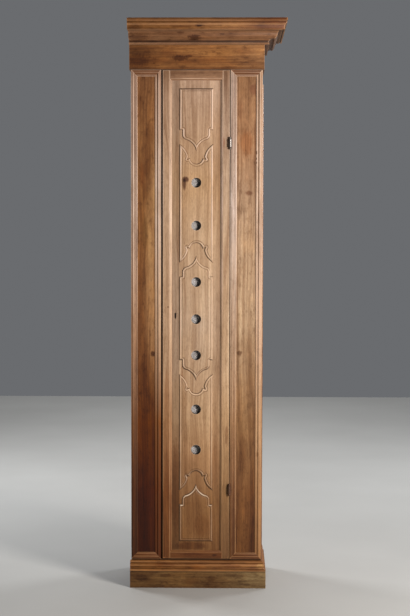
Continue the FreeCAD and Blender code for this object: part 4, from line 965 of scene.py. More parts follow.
# %% Ends and outlines
def pointed_end(tip, way):
    """An ogee end. way is 1 where the tip points up and -1 where it points down."""
    (ear, ear_drop), (across, knee_drop) = OGEE["ear"], OGEE["knee"]
    reach, drop = ear - across, ear_drop - knee_drop
    shoulder = (reach * reach + drop * drop) / (reach * 2)
    side, ear_foot, knee = tip - way * OGEE["side"], tip - way * ear_drop, tip - way * knee_drop
    return [(FIELD_HALF, side, None), (ear, side, None), (ear, ear_foot, None), (across, knee, shoulder),
            (0, tip, -OGEE["radius"]), (-across, knee, -OGEE["radius"]), (-ear, ear_foot, shoulder),
            (-ear, side, None), (-FIELD_HALF, side, None)]


def hollow_end(tip, way):
    """The hollow end that faces a tip across the channel: a lobe, two pointed cusps and two horns."""
    middle = tip + way * CHANNEL
    (neck, neck_drop), (cusp, cusp_drop), (across, drop) = HOLLOW["neck"], HOLLOW["cusp"], HOLLOW["lobe"]
    lobe = (across * across + drop * drop) / (drop * 2)
    corner = middle - way * HOLLOW["corner"]
    neck_z, cusp_z, foot = middle - way * neck_drop, middle - way * cusp_drop, middle - way * drop
    return [(FIELD_HALF, corner, None), (neck, neck_z, HOLLOW["radius"]), (cusp, cusp_z, None),
            (across, foot, None), (0, middle, -lobe), (-across, foot, -lobe), (-cusp, cusp_z, None),
            (-neck, neck_z, None), (-FIELD_HALF, corner, HOLLOW["radius"])]


def straight_end(z):
    """A straight end, with two square corners."""
    return [(FIELD_HALF, z, None), (-FIELD_HALF, z, None)]


def outline_points(bottom_end, top_end):
    """The outline as points, anticlockwise: along the foot to the right, then back along the top."""
    corners = [(-x, z, radius) for x, z, radius in bottom_end] + top_end
    points = []
    for k, corner in enumerate(corners):
        before = corners[k - 1]
        points += walk(before[:2], corner[:2], corner[2])
    return points


UP, DOWN = 1, -1
FIELDS = [
    outline_points(straight_end(FIELD_FOOT), pointed_end(TIPS[0], UP)),
    outline_points(hollow_end(TIPS[0], UP), hollow_end(TIPS[1], DOWN)),
    outline_points(pointed_end(TIPS[1], DOWN), pointed_end(TIPS[2], UP)),
    outline_points(hollow_end(TIPS[2], UP), hollow_end(TIPS[3], DOWN)),
    outline_points(pointed_end(TIPS[3], DOWN), straight_end(FIELD_HEAD)),
]
print("points on the five outlines:", [len(points) for points in FIELDS])

# %% [markdown]
# ### Lines parallel to an outline
#
# A moulding that follows an outline is a set of lines parallel to it. Moving each point inwards is
# simple, but at a hollow corner the moved line crosses itself. The points that end up too close to
# the outline are dropped, and the two lines that are left are drawn on until they meet in a mitre.

# %% Parallel lines
CORNER_ANGLE = math.radians(14)
ROUND_STEP = math.radians(16)
TOO_CLOSE = 0.03
MITRE_PLAY = 0.2
PARALLEL = 1e-9


def left_normal(a, b):
    """The way to the left of the line from a to b, one long."""
    way = (b - a).normalized()
    return Vector((-way.y, way.x))


def distance_to(points, outline):
    """The distance of each point to a closed outline."""
    a = np.array([tuple(p) for p in outline])
    b = np.roll(a, -1, 0)
    p = np.array([tuple(q) for q in points])[:, None, :]
    along = b - a
    share = np.clip(((p - a) * along).sum(2) / (along ** 2).sum(1), 0, 1)
    return np.linalg.norm(p - (a + share[..., None] * along), axis=2).min(1)


def crossing(a, b, c, d):
    """Where line a-b meets line c-d."""
    u, v = b - a, d - c
    cross = u.x * v.y - u.y * v.x
    if abs(cross) < PARALLEL:
        return None
    return a + u * (((c.x - a.x) * v.y - (c.y - a.y) * v.x) / cross)


def moved_points(outline, inward):
    """Each point of an outline moved inwards, and round the outside of a sharp corner."""
    found = []
    for k, point in enumerate(outline):
        first = left_normal(outline[k - 1], point)
        second = left_normal(point, outline[(k + 1) % len(outline)])
        turned = first.angle_signed(second) * -1
        if abs(turned) < CORNER_ANGLE or inward <= 0:
            middle = (first + second).normalized()
            found.append(point + middle * inward / max(middle.dot(first), 0.4))
        elif turned < 0:
            steps = max(2, round(abs(turned) / ROUND_STEP))
            found += [point + rotated(first, turned * n / steps) * inward for n in range(steps + 1)]
        else:
            found += [point + first * inward, point + second * inward]
    return found


def parallel_line(outline, inward):
    """The closed line at a distance inside an outline, with crisp corners where it folds."""
    found = moved_points(outline, inward)
    if inward <= 0:
        return found

    def mitre(a, b, c, d):
        corner = crossing(a, b, c, d)
        close = corner and abs(distance_to([corner], outline)[0] - inward) < MITRE_PLAY
        return [corner] if close else []

    kept = distance_to(found, outline) > inward - TOO_CLOSE
    start = next(k for k in range(len(found)) if kept[k] and not kept[k - 1]) if not kept.all() else 0
    line, gap = [], False
    for k in range(start, start + len(found)):
        k %= len(found)
        if not kept[k]:
            gap = True
            continue
        if gap and len(line) > 1:
            line += mitre(line[-2], line[-1], found[k], found[(k + 1) % len(found)])
        gap = False
        line.append(found[k])
    if gap:
        line += mitre(line[-2], line[-1], line[0], line[1])
    return line


print("3 mm inside the foot's field:", len(parallel_line(FIELDS[0], 3.0)), "points")

# %% [markdown]
# ### Closed lines for the holes
#
# The vents are circles, and the keyhole is a slot with a round eye on top. Both are closed lines like
# the outlines, so the same map can take them.

# %% Vents, keyhole and rectangles
VENT_RADIUS = 20.0
VENT_EDGE = [(1.1, 0.0), (0.7, 0.1), (0.35, 0.35), (0.12, 0.8), (0.0, 1.6)]
VENT_SEGMENTS = 56
KEY_X = -86.25
KEY_Z = (1006.0, 1029.0)
KEY_EYE = 4.0
KEY_SLOT = 2.5
KEY_EDGE = [(0.5, 0.0), (0.15, 0.15), (0.0, 0.6)]
KEY_SEGMENTS = 20


def circle(x, z, radius, segments):
    """A closed ring of points."""
    return [Vector((x + radius * math.cos(2 * math.pi * k / segments),
                    z + radius * math.sin(2 * math.pi * k / segments))) for k in range(segments)]


def keyhole(grow=0.0):
    """The keyhole as a closed line: its slot's foot, then round the eye."""
    eye_z, radius, slot = KEY_Z[1] - KEY_EYE, KEY_EYE + grow, KEY_SLOT + grow
    throat = math.asin(slot / radius)
    round_eye = 2 * math.pi - 2 * throat
    turn = [-math.pi / 2 + throat + round_eye * k / KEY_SEGMENTS for k in range(KEY_SEGMENTS + 1)]
    eye = [Vector((KEY_X + radius * math.cos(a), eye_z + radius * math.sin(a))) for a in turn]
    return [Vector((KEY_X - slot, KEY_Z[0] - grow)), Vector((KEY_X + slot, KEY_Z[0] - grow))] + eye


def rectangle(half, z):
    """Four corners, as far to the right of the middle as to the left."""
    return [Vector((-half, z[0])), Vector((half, z[0])), Vector((half, z[1])), Vector((-half, z[1]))]


def inside(point, line):
    """True if a point lies inside a closed line."""
    found = False
    for k, b in enumerate(line):
        a = line[k - 1]
        if (a.y > point.y) != (b.y > point.y):
            if point.x < a.x + (point.y - a.y) * (b.x - a.x) / (b.y - a.y):
                found = not found
    return found


print("the keyhole is a line of", len(keyhole()), "points")

# %% [markdown]
# ### Where a carving is worn, and where light and shade are painted on it
#
# A cloth that wipes a door reaches the upright edges. The lamp stands at head height: edges that
# face up below it get a painted highlight, and those that face the floor below it or face up above
# it get painted shade. These rules give each point of a line its share of wear and painted
# highlight, and of painted shade, by the way its edge faces.

# %% Wear and painted light by the way an edge faces
LAMP_HEIGHT = 1700.0
FADE_BELOW_LAMP = 900.0
FADE_ABOVE_LAMP = 200.0
SIDE_WEAR = 0.8
SIDE_WEAR_HEIGHT = 900.0


def share_of(value):
    """A number held between 0 and 1."""
    return min(1.0, max(0.0, value))


def painted_shade_away_from_lamp(outward, point):
    """Painted shade on edges that face the floor below the lamp, and on those that face up above it."""
    below = share_of((LAMP_HEIGHT - point.y) / FADE_BELOW_LAMP)
    above = share_of((point.y - LAMP_HEIGHT) / FADE_ABOVE_LAMP)
    return max(-outward.y * below, outward.y * above, 0.0)


def side_wear(outward, point):
    """Upright edges are worn where hands reach them, and less towards the foot."""
    return SIDE_WEAR * outward.x ** 2 * min(1.0, max(0.2, point.y / SIDE_WEAR_HEIGHT))


def painted_highlight_facing_up(outward, point):
    """Painted highlight on edges that face up, most where the lamp is high above them."""
    return max(0.0, outward.y) * share_of((LAMP_HEIGHT - point.y) / FADE_BELOW_LAMP)


print("an edge that faces up at 1 m is worn by", round(painted_highlight_facing_up(Vector((0, 1)), Vector((0, 1000))), 2))

# %% [markdown]
# ### The map of depths
#
# The map collects closed lines. Every point of a line has a depth below the door's face, a share of
# wear and painted highlight, and a share of dirt and painted shade. The two shares go into the mesh
# as attributes, and the wood reads them.

# %% The profile and the map
PLATE_DEPTH = 8.0
FIELD_DEPTH = 3.0
WALL_RUN = -0.25
# The foot of the field's wall gets dirt and painted shade.
WALL_DIRT_AND_SHADE = 0.8
PLATE_MARGIN = -2.4
BEAD = [(0.0, 6.4), (0.8, 4.9), (2.0, 4.0), (3.8, 3.4), (5.6, 3.5), (7.2, 4.1), (8.2, 4.8), (9.0, 5.1),
        (9.7, 4.4), (10.6, 3.6), (11.8, 3.12), (13.0, FIELD_DEPTH), (13.6, FIELD_DEPTH)]
# Shares by step of the bead: wear and painted highlight on the crest, painted shade where an edge is turned
# from the lamp, and dirt and painted shade at the foot and in the quirk.
WEAR_AND_HIGHLIGHT_BY_STEP = {2.0: 0.6, 3.8: 1.0, 5.6: 0.6}
PAINTED_SHADE_BY_STEP = {0.0: 0.85, 0.8: 0.85, 2.0: 0.75, 3.8: 0.45, 5.6: 0.1}
DIRT_AND_SHADE_BY_STEP = {0.0: 0.7, 0.8: 0.25, 8.2: 0.3, 9.0: 0.6, 9.7: 0.2}


class DepthMap:
    """Points of the face with a depth each, and the closed lines that join them."""

    def __init__(self):
        self.points, self.depths, self.edges, self.rubbed, self.dirt = [], [], [], [], []

    def add_line(self, line, depth, rubbed=0.0, dirt=0.0, shade=0.0):
        """Adds a closed line and returns its points' numbers. shade is painted shade on edges turned away
        from the lamp.
        """
        first, count = len(self.points), len(line)
        self.points += line
        self.depths += [depth] * count
        for k, point in enumerate(line):
            outward = -left_normal(line[k - 1], line[(k + 1) % count])
            self.rubbed.append(rubbed * max(side_wear(outward, point), painted_highlight_facing_up(outward, point)))
            self.dirt.append(max(dirt * (0.25 + 0.75 * abs(outward.y)), shade * painted_shade_away_from_lamp(outward, point)))
        self.edges += [(first + k, first + (k + 1) % count) for k in range(count)]
        return list(range(first, first + count))


def depth_at(point):
    """The carved depth anywhere on the face, for points that the triangulation adds itself."""
    for outline in FIELDS:
        if inside(point, outline):
            distance = distance_to([point], outline)[0]
            return float(np.interp(distance, [inward for inward, _ in BEAD], [depth for _, depth in BEAD]))
    return PLATE_DEPTH


print("the middle of the first field lies", depth_at(Vector((0, 200))), "mm deep")

# %% [markdown]
# ### Triangles between the lines
#
# Delaunay triangulation joins points into the roundest triangles it can, and the constrained kind
# keeps the lines given to it as edges. Where two lines touch, it adds a point of its own, which
# gets its depth from the profile. Triangles inside a hole are left out.

# %% Triangulate a map
FILL_TO_RIM, SAME_POINT = 1, 1e-5


def triangles(carving, holes):
    """Triangles between a map's lines, anticlockwise, left open inside each hole (a closed line)."""
    coordinates, _, faces, origins, _, _ = delaunay_2d_cdt(carving.points, carving.edges, [], FILL_TO_RIM,
                                                          SAME_POINT)
    names = []
    for point, origin in zip(coordinates, origins):
        if not origin:
            origin = [len(carving.points)]
            carving.points.append(point.copy())
            carving.depths.append(depth_at(point))
            carving.rubbed.append(0.0)
            carving.dirt.append(0.0)
        names.append(origin[0])
    kept = []
    for face in faces:
        middle = sum((coordinates[k] for k in face), Vector((0, 0))) / 3
        if not any(inside(middle, hole) for hole in holes):
            kept.append([names[k] for k in face])
    return kept


print("triangles follow the lines of a map")

# %% [markdown]
# ### The face of the panel
#
# The map gets the board's rim, then for each field a line at every step of its profile, and last the
# softened rims of the holes.

# %% Lines on the face
SLAB_HALF = 107.45
SLAB_Z = (27.3, 1993.7)

face = DepthMap()
slab_corners = face.add_line(rectangle(SLAB_HALF, SLAB_Z), PLATE_DEPTH)
for outline in FIELDS:
    face.add_line(parallel_line(outline, PLATE_MARGIN), PLATE_DEPTH)
    face.add_line(parallel_line(outline, WALL_RUN), PLATE_DEPTH, dirt=WALL_DIRT_AND_SHADE)
    for inward, depth in BEAD:
        line = outline if inward == 0 else parallel_line(outline, inward)
        face.add_line(line, depth, WEAR_AND_HIGHLIGHT_BY_STEP.get(inward, 0.0), DIRT_AND_SHADE_BY_STEP.get(inward, 0.0), PAINTED_SHADE_BY_STEP.get(inward, 0.0))
holes = []
for height in VENTS:
    for grow, depth in VENT_EDGE:
        ring = circle(0, height, VENT_RADIUS + grow, VENT_SEGMENTS)
        names = face.add_line(ring, FIELD_DEPTH + depth)
    holes.append((ring, names))
for grow, depth in KEY_EDGE:
    ring = keyhole(grow)
    names = face.add_line(ring, PLATE_DEPTH + depth)
holes.append((ring, names))
drawn = len(face.points)
front_faces = triangles(face, [ring for ring, _ in holes])
print(f"{drawn} points drawn, {len(face.points) - drawn} added where lines touch")

# %% [markdown]
# ### The board behind the face
#
# The face becomes the front of a closed board: walls run from its rim back to the tongue, in to the
# thicker middle and to the back, and through every hole. The walls of the holes get a material slot
# of their own, painted dark brown as shade, which also keeps light from bouncing off them onto the
# gauze.

# %% Build the board
BACK_HALF = 99.75
BACK_Z = (35.0, 1986.0)
TONGUE_DEPTH = 16.0
BACK_DEPTH = 24.0
MAIN_FINISH, SHADED_HOLE_FINISH = 0, 1
SMOOTH_LIMIT = math.radians(32)


def in_door(point, depth):
    """A point of the panel's map, in metres in the cabinet."""
    return Vector((DOOR_MIDDLE + point.x, DOOR_FACE + depth, DOOR_FOOT + point.y)) * MM


def wall(near, far, finish=MAIN_FINISH):
    """Faces between two closed rows of points."""
    for k in range(len(near)):
        n = (k + 1) % len(near)
        mesh.faces.new((near[k], far[k], far[n], near[n])).material_index = finish


mesh = bmesh.new()
# The attribute of wear also holds painted highlight, and the 'dirt' attribute holds dirt and painted shade.
rubbed, dirt = mesh.verts.layers.float.new("rubbed"), mesh.verts.layers.float.new("dirt")
front = [mesh.verts.new(in_door(p, d)) for p, d in zip(face.points, face.depths)]
for vert, rubbed_share, dirt_share in zip(front, face.rubbed, face.dirt):
    vert[rubbed], vert[dirt] = rubbed_share, dirt_share
for corners in front_faces:
    mesh.faces.new([front[k] for k in corners])

tongue_back = [mesh.verts.new(in_door(p, TONGUE_DEPTH)) for p in rectangle(SLAB_HALF, SLAB_Z)]
step = [mesh.verts.new(in_door(p, TONGUE_DEPTH)) for p in rectangle(BACK_HALF, BACK_Z)]
back_map = DepthMap()
back_map.add_line(rectangle(BACK_HALF, BACK_Z), BACK_DEPTH)
back_rings = [back_map.add_line(ring, BACK_DEPTH) for ring, _ in holes]
back = [mesh.verts.new(in_door(p, BACK_DEPTH)) for p in back_map.points]

wall([front[k] for k in slab_corners], tongue_back)
wall(tongue_back, step)
wall(step, back[:4])
for corners in triangles(back_map, [ring for ring, _ in holes]):
    mesh.faces.new([back[k] for k in reversed(corners)])
for (_, names), far in zip(holes, back_rings):
    wall([front[k] for k in reversed(names)], [back[k] for k in reversed(far)], SHADED_HOLE_FINISH)
print(f"{len(mesh.verts)} points and {len(mesh.faces)} faces")

# %% [markdown]
# ### Close and smooth the panel
#
# Points that no face uses are deleted, the faces are turned outwards, and every edge is checked to
# have two faces. Smooth shading rounds the bead, and edges over a limit stay crisp.

# %% Finish the panel's mesh
bmesh.ops.delete(mesh, geom=[v for v in mesh.verts if not v.link_faces], context="VERTS")
open_edges = sum(1 for edge in mesh.edges if not edge.is_manifold)
bmesh.ops.recalc_face_normals(mesh, faces=mesh.faces)
panel_data = bpy.data.meshes.new("carved_panel")
mesh.to_mesh(panel_data)
mesh.free()
panel_data.shade_smooth()
panel_data.set_sharp_from_angle(angle=SMOOTH_LIMIT)
carved_panel = bpy.data.objects.new("carved_panel", panel_data)
bpy.context.scene.collection.objects.link(carved_panel)
print(f"carved panel: {len(panel_data.polygons)} faces, {open_edges} open edges")

# %% [markdown]
# ### The panel's wood
#
# The panel has the palest wood of the front. Its rubbed crests with painted highlights and its dirty
# grooves with painted shade come from the attributes of the mesh. Its left margin is darkened, partly
# as dirt and partly as painted shade. It takes the place of the frame's plain panel and rides on the
# door.

# %% Wood on the panel
CARVED_BARE_WOOD = tones({0: (190, 160, 130), 400: (226, 204, 180), 700: (214, 180, 150),
                          1130: (218, 184, 154), 1640: (236, 208, 190), 2140: (230, 200, 178)})
# Darker left margin: dirt and painted shade.
LEFT_MARGIN_DIRT_AND_SHADE = (-113.0, -117.0, (0.65, 0.63, 0.62))
DARK_RIGHT = (22.0, 27.0, (0.94, 0.93, 0.93))
PANEL_SEED, HOLE_SEED = 57, 58

panel_data.materials.append(finished("carved_panel", "z", "field", PANEL_SEED, carved=True,
                                     margins=[LEFT_MARGIN_DIRT_AND_SHADE, DARK_RIGHT], bare=CARVED_BARE_WOOD))
panel_data.materials.append(finished("shaded_hole_wall", "z", "shaded_hole_wall", HOLE_SEED))
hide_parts("door_panel")
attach(carved_panel, "door")
print("panel in place")

# %% [markdown]
# ## Iron
#
# Forged iron that was never polished is nearly black with soot, brown where it rusted, and shiny only
# where fingers and friction rubbed it. One noise chooses between bare iron and rust, and a finer one
# lays the soot and steers the gloss.

# %% Iron
SOOT = opaque(colour(18, 14, 12))


def iron(name, bare, rust, share, metal=0.75):
    """Forged iron. share is how much of it has rusted."""
    graph = Graph(name)
    place = graph.place()
    patches = graph.noise(place, 140.0, 4.0, 0.6)
    fine = graph.noise(place, 900.0, 2.0)
    rusty = graph.range(patches, 0.62 - share * 0.3, 0.72 - share * 0.3)
    base = graph.mix(rusty, opaque(colour(*bare)), opaque(colour(*rust)))
    base = graph.mix(graph.range(fine, 0.35, 0.65, 0.0, 0.35), base, SOOT)
    graph.fill(graph.shader.inputs["Base Color"], base)
    graph.fill(graph.shader.inputs["Metallic"], graph.sum("MULTIPLY_ADD", rusty, -metal * 0.8, metal))
    graph.fill(graph.shader.inputs["Roughness"], graph.range(fine, 0.3, 0.7, 0.26, 0.46))
    bump = graph.add("ShaderNodeBump", {"Strength": 0.4, "Distance": 0.0003, "Height": fine})
    graph.fill(graph.shader.inputs["Normal"], bump)
    return graph.material


BLACK_IRON = iron("black_iron", (150, 142, 136), (70, 42, 26), share=0.12, metal=0.85)
BROWN_IRON = iron("brown_iron", (104, 82, 66), (96, 60, 38), share=0.7, metal=0.6)
NAIL_IRON = iron("nail_iron", (60, 54, 50), (88, 52, 32), share=0.6)
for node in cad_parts:
    if node.startswith(("hinge_upper", "lock")):
        dress(node, BLACK_IRON)
    elif node.startswith("hinge_lower"):
        dress(node, BROWN_IRON)
print("black iron on the upper hinge and the lock, brown iron on the lower hinge")

# %% [markdown]
# ## Zinc
#
# Wire for gauze is dipped in zinc against rust. Old zinc is dull and nearly white, so it is hardly
# metallic at all.

# %% Zinc wire
ZINC_TONES = [(0.3, colour(222, 214, 210)), (0.7, colour(242, 236, 234))]

zinc = Graph("zinc_wire")
zinc_noise = zinc.noise(zinc.place(), 60.0, 4.0)
zinc.fill(zinc.shader.inputs["Base Color"], zinc.ramp(zinc_noise, ZINC_TONES))
zinc.fill(zinc.shader.inputs["Roughness"], zinc.range(zinc_noise, 0.3, 0.7, 0.5, 0.7))
zinc.shader.inputs["Metallic"].default_value = 0.2
print("zinc mixed")

# %% [markdown]
# ## A builder for Geometry Nodes
#
# What repeats is grown by Geometry Nodes: a tree puts one small shape on many points. This class
# makes a tree with named inputs, adds nodes and wires them, and ends the tree in Realize Instances
# and Set Material. A second helper runs a tree on a base mesh and keeps only the plain mesh.

# %% Trees and plain meshes
class Tree:
    """Builds one Geometry Nodes tree with named inputs."""

    def __init__(self, name, inputs):
        self.group = bpy.data.node_groups.new(name, "GeometryNodeTree")
        self.group.interface.new_socket("Geometry", in_out="INPUT", socket_type="NodeSocketGeometry")
        for title, kind in inputs:
            self.group.interface.new_socket(title, in_out="INPUT", socket_type=f"NodeSocket{kind}")
        self.group.interface.new_socket("Geometry", in_out="OUTPUT", socket_type="NodeSocketGeometry")
        self.given = self.group.nodes.new("NodeGroupInput")

    def input(self, title):
        return self.given.outputs[title]

    def add(self, kind, inputs=None, output=0, **settings):
        node = self.group.nodes.new(kind)
        for name, value in settings.items():
            setattr(node, name, value)
        for name, value in (inputs or {}).items():
            sources = value if isinstance(value, list) else [value]
            for source in sources:
                if isinstance(source, bpy.types.NodeSocket):
                    self.group.links.new(source, node.inputs[name])
                else:
                    node.inputs[name].default_value = source
        return node.outputs[output]

    def end(self, geometry, material):
        """Realize Instances and Set Material, then the group's output."""
        solid = self.add("GeometryNodeRealizeInstances", {"Geometry": geometry})
        painted = self.add("GeometryNodeSetMaterial", {"Geometry": solid, "Material": material})
        output = self.group.nodes.new("NodeGroupOutput")
        self.group.links.new(painted, output.inputs["Geometry"])


def grow_mesh(name, base, tree, values):
    """Runs a tree on a base mesh and returns the result as a plain mesh object."""
    carrier = bpy.data.objects.new(name, base)
    bpy.context.scene.collection.objects.link(carrier)
    modifier = carrier.modifiers.new("grow", "NODES")
    modifier.node_group = tree.group
    for item in tree.group.interface.items_tree:
        if item.item_type == "SOCKET" and item.in_out == "INPUT" and item.name in values:
            modifier[item.identifier] = values[item.name]
    graph = bpy.context.evaluated_depsgraph_get()
    result = bpy.data.meshes.new_from_object(carrier.evaluated_get(graph))
    carrier.modifiers.clear()
    carrier.data = result
    result.name = name
    return carrier


print("ready to grow meshes")

# %% [markdown]
# ## Gauze behind the holes
#
# The vents let air in and the gauze keeps flies out. It is a mesh of thin zinc wires, one layer
# across and one layer down. More than a thousand straight wires are a job for Geometry Nodes: a line
# of points, one wire on each point, twice. The tree has inputs for the pitch and the wire, so
# another gauze needs only new numbers.

# %% Parallel wires
WIRE_SIDES = 6


def wires(tree, length, span, upright):
    """Parallel wires side by side, from the corner."""
    pitch, wire = tree.input("Pitch"), tree.input("Wire")
    count = tree.add("ShaderNodeMath", {0: span, 1: pitch}, operation="DIVIDE")
    radius = tree.add("ShaderNodeMath", {0: wire, 1: 0.5}, operation="MULTIPLY")
    half_length = tree.add("ShaderNodeMath", {0: length, 1: 0.5}, operation="MULTIPLY")
    depth = tree.add("ShaderNodeMath", {0: wire, 1: 1.5 if upright else 0.5}, operation="MULTIPLY")
    if upright:
        offset, first, turn = {0: pitch}, {0: radius, 2: half_length}, (0.0, 0.0, 0.0)
    else:
        offset, first, turn = {2: pitch}, {0: half_length, 2: radius}, (0.0, math.pi / 2, 0.0)
    line = tree.add("GeometryNodeMeshLine", {
        "Count": count, "Start Location": tree.add("ShaderNodeCombineXYZ", first),
        "Offset": tree.add("ShaderNodeCombineXYZ", offset)})
    rod = tree.add("GeometryNodeMeshCylinder", {"Vertices": WIRE_SIDES, "Radius": radius, "Depth": length})
    placed = tree.add("GeometryNodeInstanceOnPoints", {"Points": line, "Instance": rod, "Rotation": turn})
    back = tree.add("ShaderNodeCombineXYZ", {1: depth})
    return tree.add("GeometryNodeTransform", {"Geometry": placed, "Translation": back})


print(f"each wire has {WIRE_SIDES} sides")

# %% [markdown]
# ### Weave the gauze
#
# The two layers are joined and moved to the corner of the frame's own gauze, a plain sheet that the
# woven one replaces. Pitch and wire are set through the sockets' identifiers.

# %% Gauze
GAUZE_PITCH = 1.0 * MM

gauze_tree = Tree("gauze", [("Width", "Float"), ("Height", "Float"), ("Pitch", "Float"), ("Wire", "Float"),
                            ("Corner", "Vector")])
width, height = gauze_tree.input("Width"), gauze_tree.input("Height")
layers = [wires(gauze_tree, width, height, upright=False), wires(gauze_tree, height, width, upright=True)]
both = gauze_tree.add("GeometryNodeJoinGeometry", {"Geometry": layers})
moved = gauze_tree.add("GeometryNodeTransform", {"Geometry": both, "Translation": gauze_tree.input("Corner")})
gauze_tree.end(moved, zinc.material)

low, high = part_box("door_gauze")
gauze = grow_mesh("vent_gauze", bpy.data.meshes.new("gauze_base"), gauze_tree, {
    "Width": high.x - low.x, "Height": high.z - low.z, "Pitch": GAUZE_PITCH, "Wire": (high.y - low.y) / 2,
    "Corner": low})
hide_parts("door_gauze")
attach(gauze, "door")
print(f"gauze: {len(gauze.data.polygons)} faces")

# %% [markdown]
# ## Nails, tacks, pegs and rivets
#
# Every joint and lath is held by something small: oak pegs through the frame joints, cut nails in the
# shelves and the top, tacks round the gauze, rivets in the lock. They all follow one rule, a head on a
# point, so one Geometry Nodes tree sets them: the base mesh brings the points and the way each head
# faces, and the tree puts a low dome or a flat end on each. A seed turns every head differently.

# %% A tree that sets heads on points
FACING = "facing"
DOME_TOP = 0.55


def head_tree(name, material, sides, domed):
    """A tree with named sizes that puts one head on every point of the base mesh."""
    tree = Tree(name, [("Radius", "Float"), ("Height", "Float"), ("Seed", "Int")])
    radius, height = tree.input("Radius"), tree.input("Height")
    if domed:
        top = tree.add("ShaderNodeMath", {0: radius, 1: DOME_TOP}, operation="MULTIPLY")
        head = tree.add("GeometryNodeMeshCone", {"Vertices": sides, "Radius Top": top,
                                                 "Radius Bottom": radius, "Depth": height})
    else:
        head = tree.add("GeometryNodeMeshCylinder", {"Vertices": sides, "Radius": radius, "Depth": height})
    facing = tree.add("GeometryNodeInputNamedAttribute", {"Name": FACING}, data_type="FLOAT_VECTOR")
    spin = tree.add("FunctionNodeRandomValue", {"Min": 0.0, "Max": math.tau, "Seed": tree.input("Seed")}, 1)
    spin = tree.add("FunctionNodeEulerToRotation", {0: tree.add("ShaderNodeCombineXYZ", {2: spin})})
    aligned = tree.add("FunctionNodeAlignRotationToVector", {"Vector": facing}, axis="Z")
    rotation = tree.add("FunctionNodeRotateRotation", {"Rotation": aligned, "Rotate By": spin},
                        rotation_space="LOCAL")
    placed = tree.add("GeometryNodeInstanceOnPoints", {"Points": tree.input("Geometry"), "Instance": head,
                                                       "Rotation": rotation})
    tree.end(placed, material)
    return tree


PEG_TONES = tones({0: (96, 60, 34), 1000: (150, 110, 78), 2300: (140, 104, 76)})
PEG_SIDES, NAIL_SIDES = 9, 8
PEG_SEED = 71
pegs = head_tree("peg_heads", wood("peg_wood", "y", PEG_TONES, PEG_SEED, wear=0.2), PEG_SIDES, domed=False)
nails = head_tree("nail_heads", NAIL_IRON, NAIL_SIDES, domed=True)
print("two trees for heads")

# %% [markdown]
# ### Heads on a list of places
#
# One helper turns a list of places and facings into a mesh of points, runs a tree on it, and puts the
# result on its body. A head sits a little above the surface, so that its rim shows all round.

# %% Set heads
STAND_OFF = 0.10
FRONT, BACK, RISEN, RIGHTWARD = (0, -1, 0), (0, 1, 0), (0, 0, 1), (1, 0, 0)


def set_heads(name, tree, points, radius, height, body, seed):
    """Heads on a list of (place in mm, way it faces), as one mesh on one body."""
    base = bpy.data.meshes.new(f"{name}_points")
    lift = height * MM * STAND_OFF
    base.from_pydata([Vector(place) * MM + Vector(way) * lift for place, way in points], [], [])
    ways = base.attributes.new(FACING, "FLOAT_VECTOR", "POINT")
    ways.data.foreach_set("vector", [c for _, way in points for c in way])
    piece = grow_mesh(name, base, tree, {"Radius": radius * MM, "Height": height * MM, "Seed": seed})
    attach(piece, body)
    print(f"{name}: {len(points)} heads, {len(piece.data.polygons)} faces")


print("heads can face", FRONT, BACK, RISEN, RIGHTWARD)

# %% [markdown]
# ### Pegs in the door's joints
#
# Two oak pegs lock each of the door's four joints. They stand a little nearer to the door's edge than
# the middle of the stile, where the tenon's end is.

# %% Door pegs
PEG_OFFSET = 8
PEG_HEIGHTS = {"door_top_rail": (-3, 10), "door_bottom_rail": (-7, 3)}


def middle_of(node):
    """The middle of a CAD node's box in millimetres."""
    low, high = box_mm(node)
    return (low + high) / 2


door_face_y = box_mm("door_lock_stile")[0].y
peg_places = (middle_of("door_lock_stile").x - PEG_OFFSET, middle_of("door_hinge_stile").x + PEG_OFFSET)
door_pegs = [((x, door_face_y, middle_of(rail).z + above), FRONT) for x in peg_places
             for rail, heights in PEG_HEIGHTS.items() for above in heights]
set_heads("door_pegs", pegs, door_pegs, radius=2.2, height=0.8, body="door", seed=1)

# %% [markdown]
# ### Tacks round the gauze and rivets in the lock
#
# Tacks are driven a few fingers' width apart, so their count follows from the length and they are
# spread evenly. Four rivets hold the lock's case together.

# %% Tacks and rivets
TACK_PITCH, TACK_INSET, TACK_END = 46.0, 3, 6
RIVET_INSET = 7

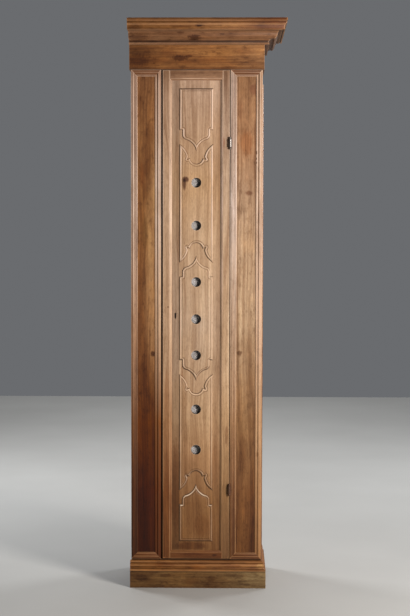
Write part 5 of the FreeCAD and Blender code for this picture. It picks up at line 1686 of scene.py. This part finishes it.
low, high = box_mm("door_gauze")
tack_run = high.z - low.z - 2 * TACK_END
tack_count = round(tack_run / TACK_PITCH)
tacks = [((x, high.y, low.z + TACK_END + tack_run * row / tack_count), BACK) for row in range(tack_count + 1)
         for x in (low.x + TACK_INSET, high.x - TACK_INSET)]
tacks += [((DOOR_MIDDLE, high.y, z), BACK) for z in (low.z + TACK_INSET, high.z - TACK_INSET)]
set_heads("gauze_tacks", nails, tacks, radius=2.4, height=1.0, body="door", seed=2)

low, high = box_mm("lock_case")
rivets = [((x, high.y, z), BACK) for x in (low.x + RIVET_INSET, high.x - RIVET_INSET)
          for z in (low.z + RIVET_INSET, high.z - RIVET_INSET)]
set_heads("lock_rivets", nails, rivets, radius=2.6, height=1.2, body="door", seed=3)

# %% [markdown]
# ### Nails in the shelves, the top and the door stop
#
# Three nails at each end hold a shelf on its cleats. The top board is nailed down all round, and the
# door stop is nailed from its side into the pilaster.

# %% Nails
SHELF_END, SHELF_EDGE = 12, 40
TOP_EDGE, TOP_END, TOP_SIDE_END = 8, 40, 90
STOP_END = 60
TOP_ROW, TOP_SIDE_ROW, STOP_ROW = 6, 3, 8

shelf_nails = []
for shelf in ("shelf_lower", "shelf_middle", "shelf_upper"):
    low, high = box_mm(shelf)
    shelf_nails += [((x, y, high.z), RISEN) for x in (low.x + SHELF_END, high.x - SHELF_END)
                    for y in (low.y + SHELF_EDGE, (low.y + high.y) / 2, high.y - SHELF_EDGE)]
set_heads("shelf_nails", nails, shelf_nails, radius=2.6, height=0.9, body="carcass", seed=4)

low, high = box_mm("top_board")
top_nails = [((x, y, high.z), RISEN) for y in (low.y + TOP_EDGE, high.y - TOP_EDGE)
             for x in np.linspace(low.x + TOP_END, high.x - TOP_END, TOP_ROW)]
top_nails += [((x, y, high.z), RISEN) for x in (low.x + TOP_EDGE, high.x - TOP_EDGE)
              for y in np.linspace(low.y + TOP_SIDE_END, high.y - TOP_SIDE_END, TOP_SIDE_ROW)]
set_heads("top_nails", nails, top_nails, radius=2.6, height=0.9, body="carcass", seed=5)

low, high = box_mm("door_stop")
stop_nails = [((high.x, (low.y + high.y) / 2, z), RIGHTWARD)
              for z in np.linspace(low.z + STOP_END, high.z - STOP_END, STOP_ROW)]
set_heads("door_stop_nails", nails, stop_nails, radius=1.8, height=0.6, body="carcass",
          seed=6)
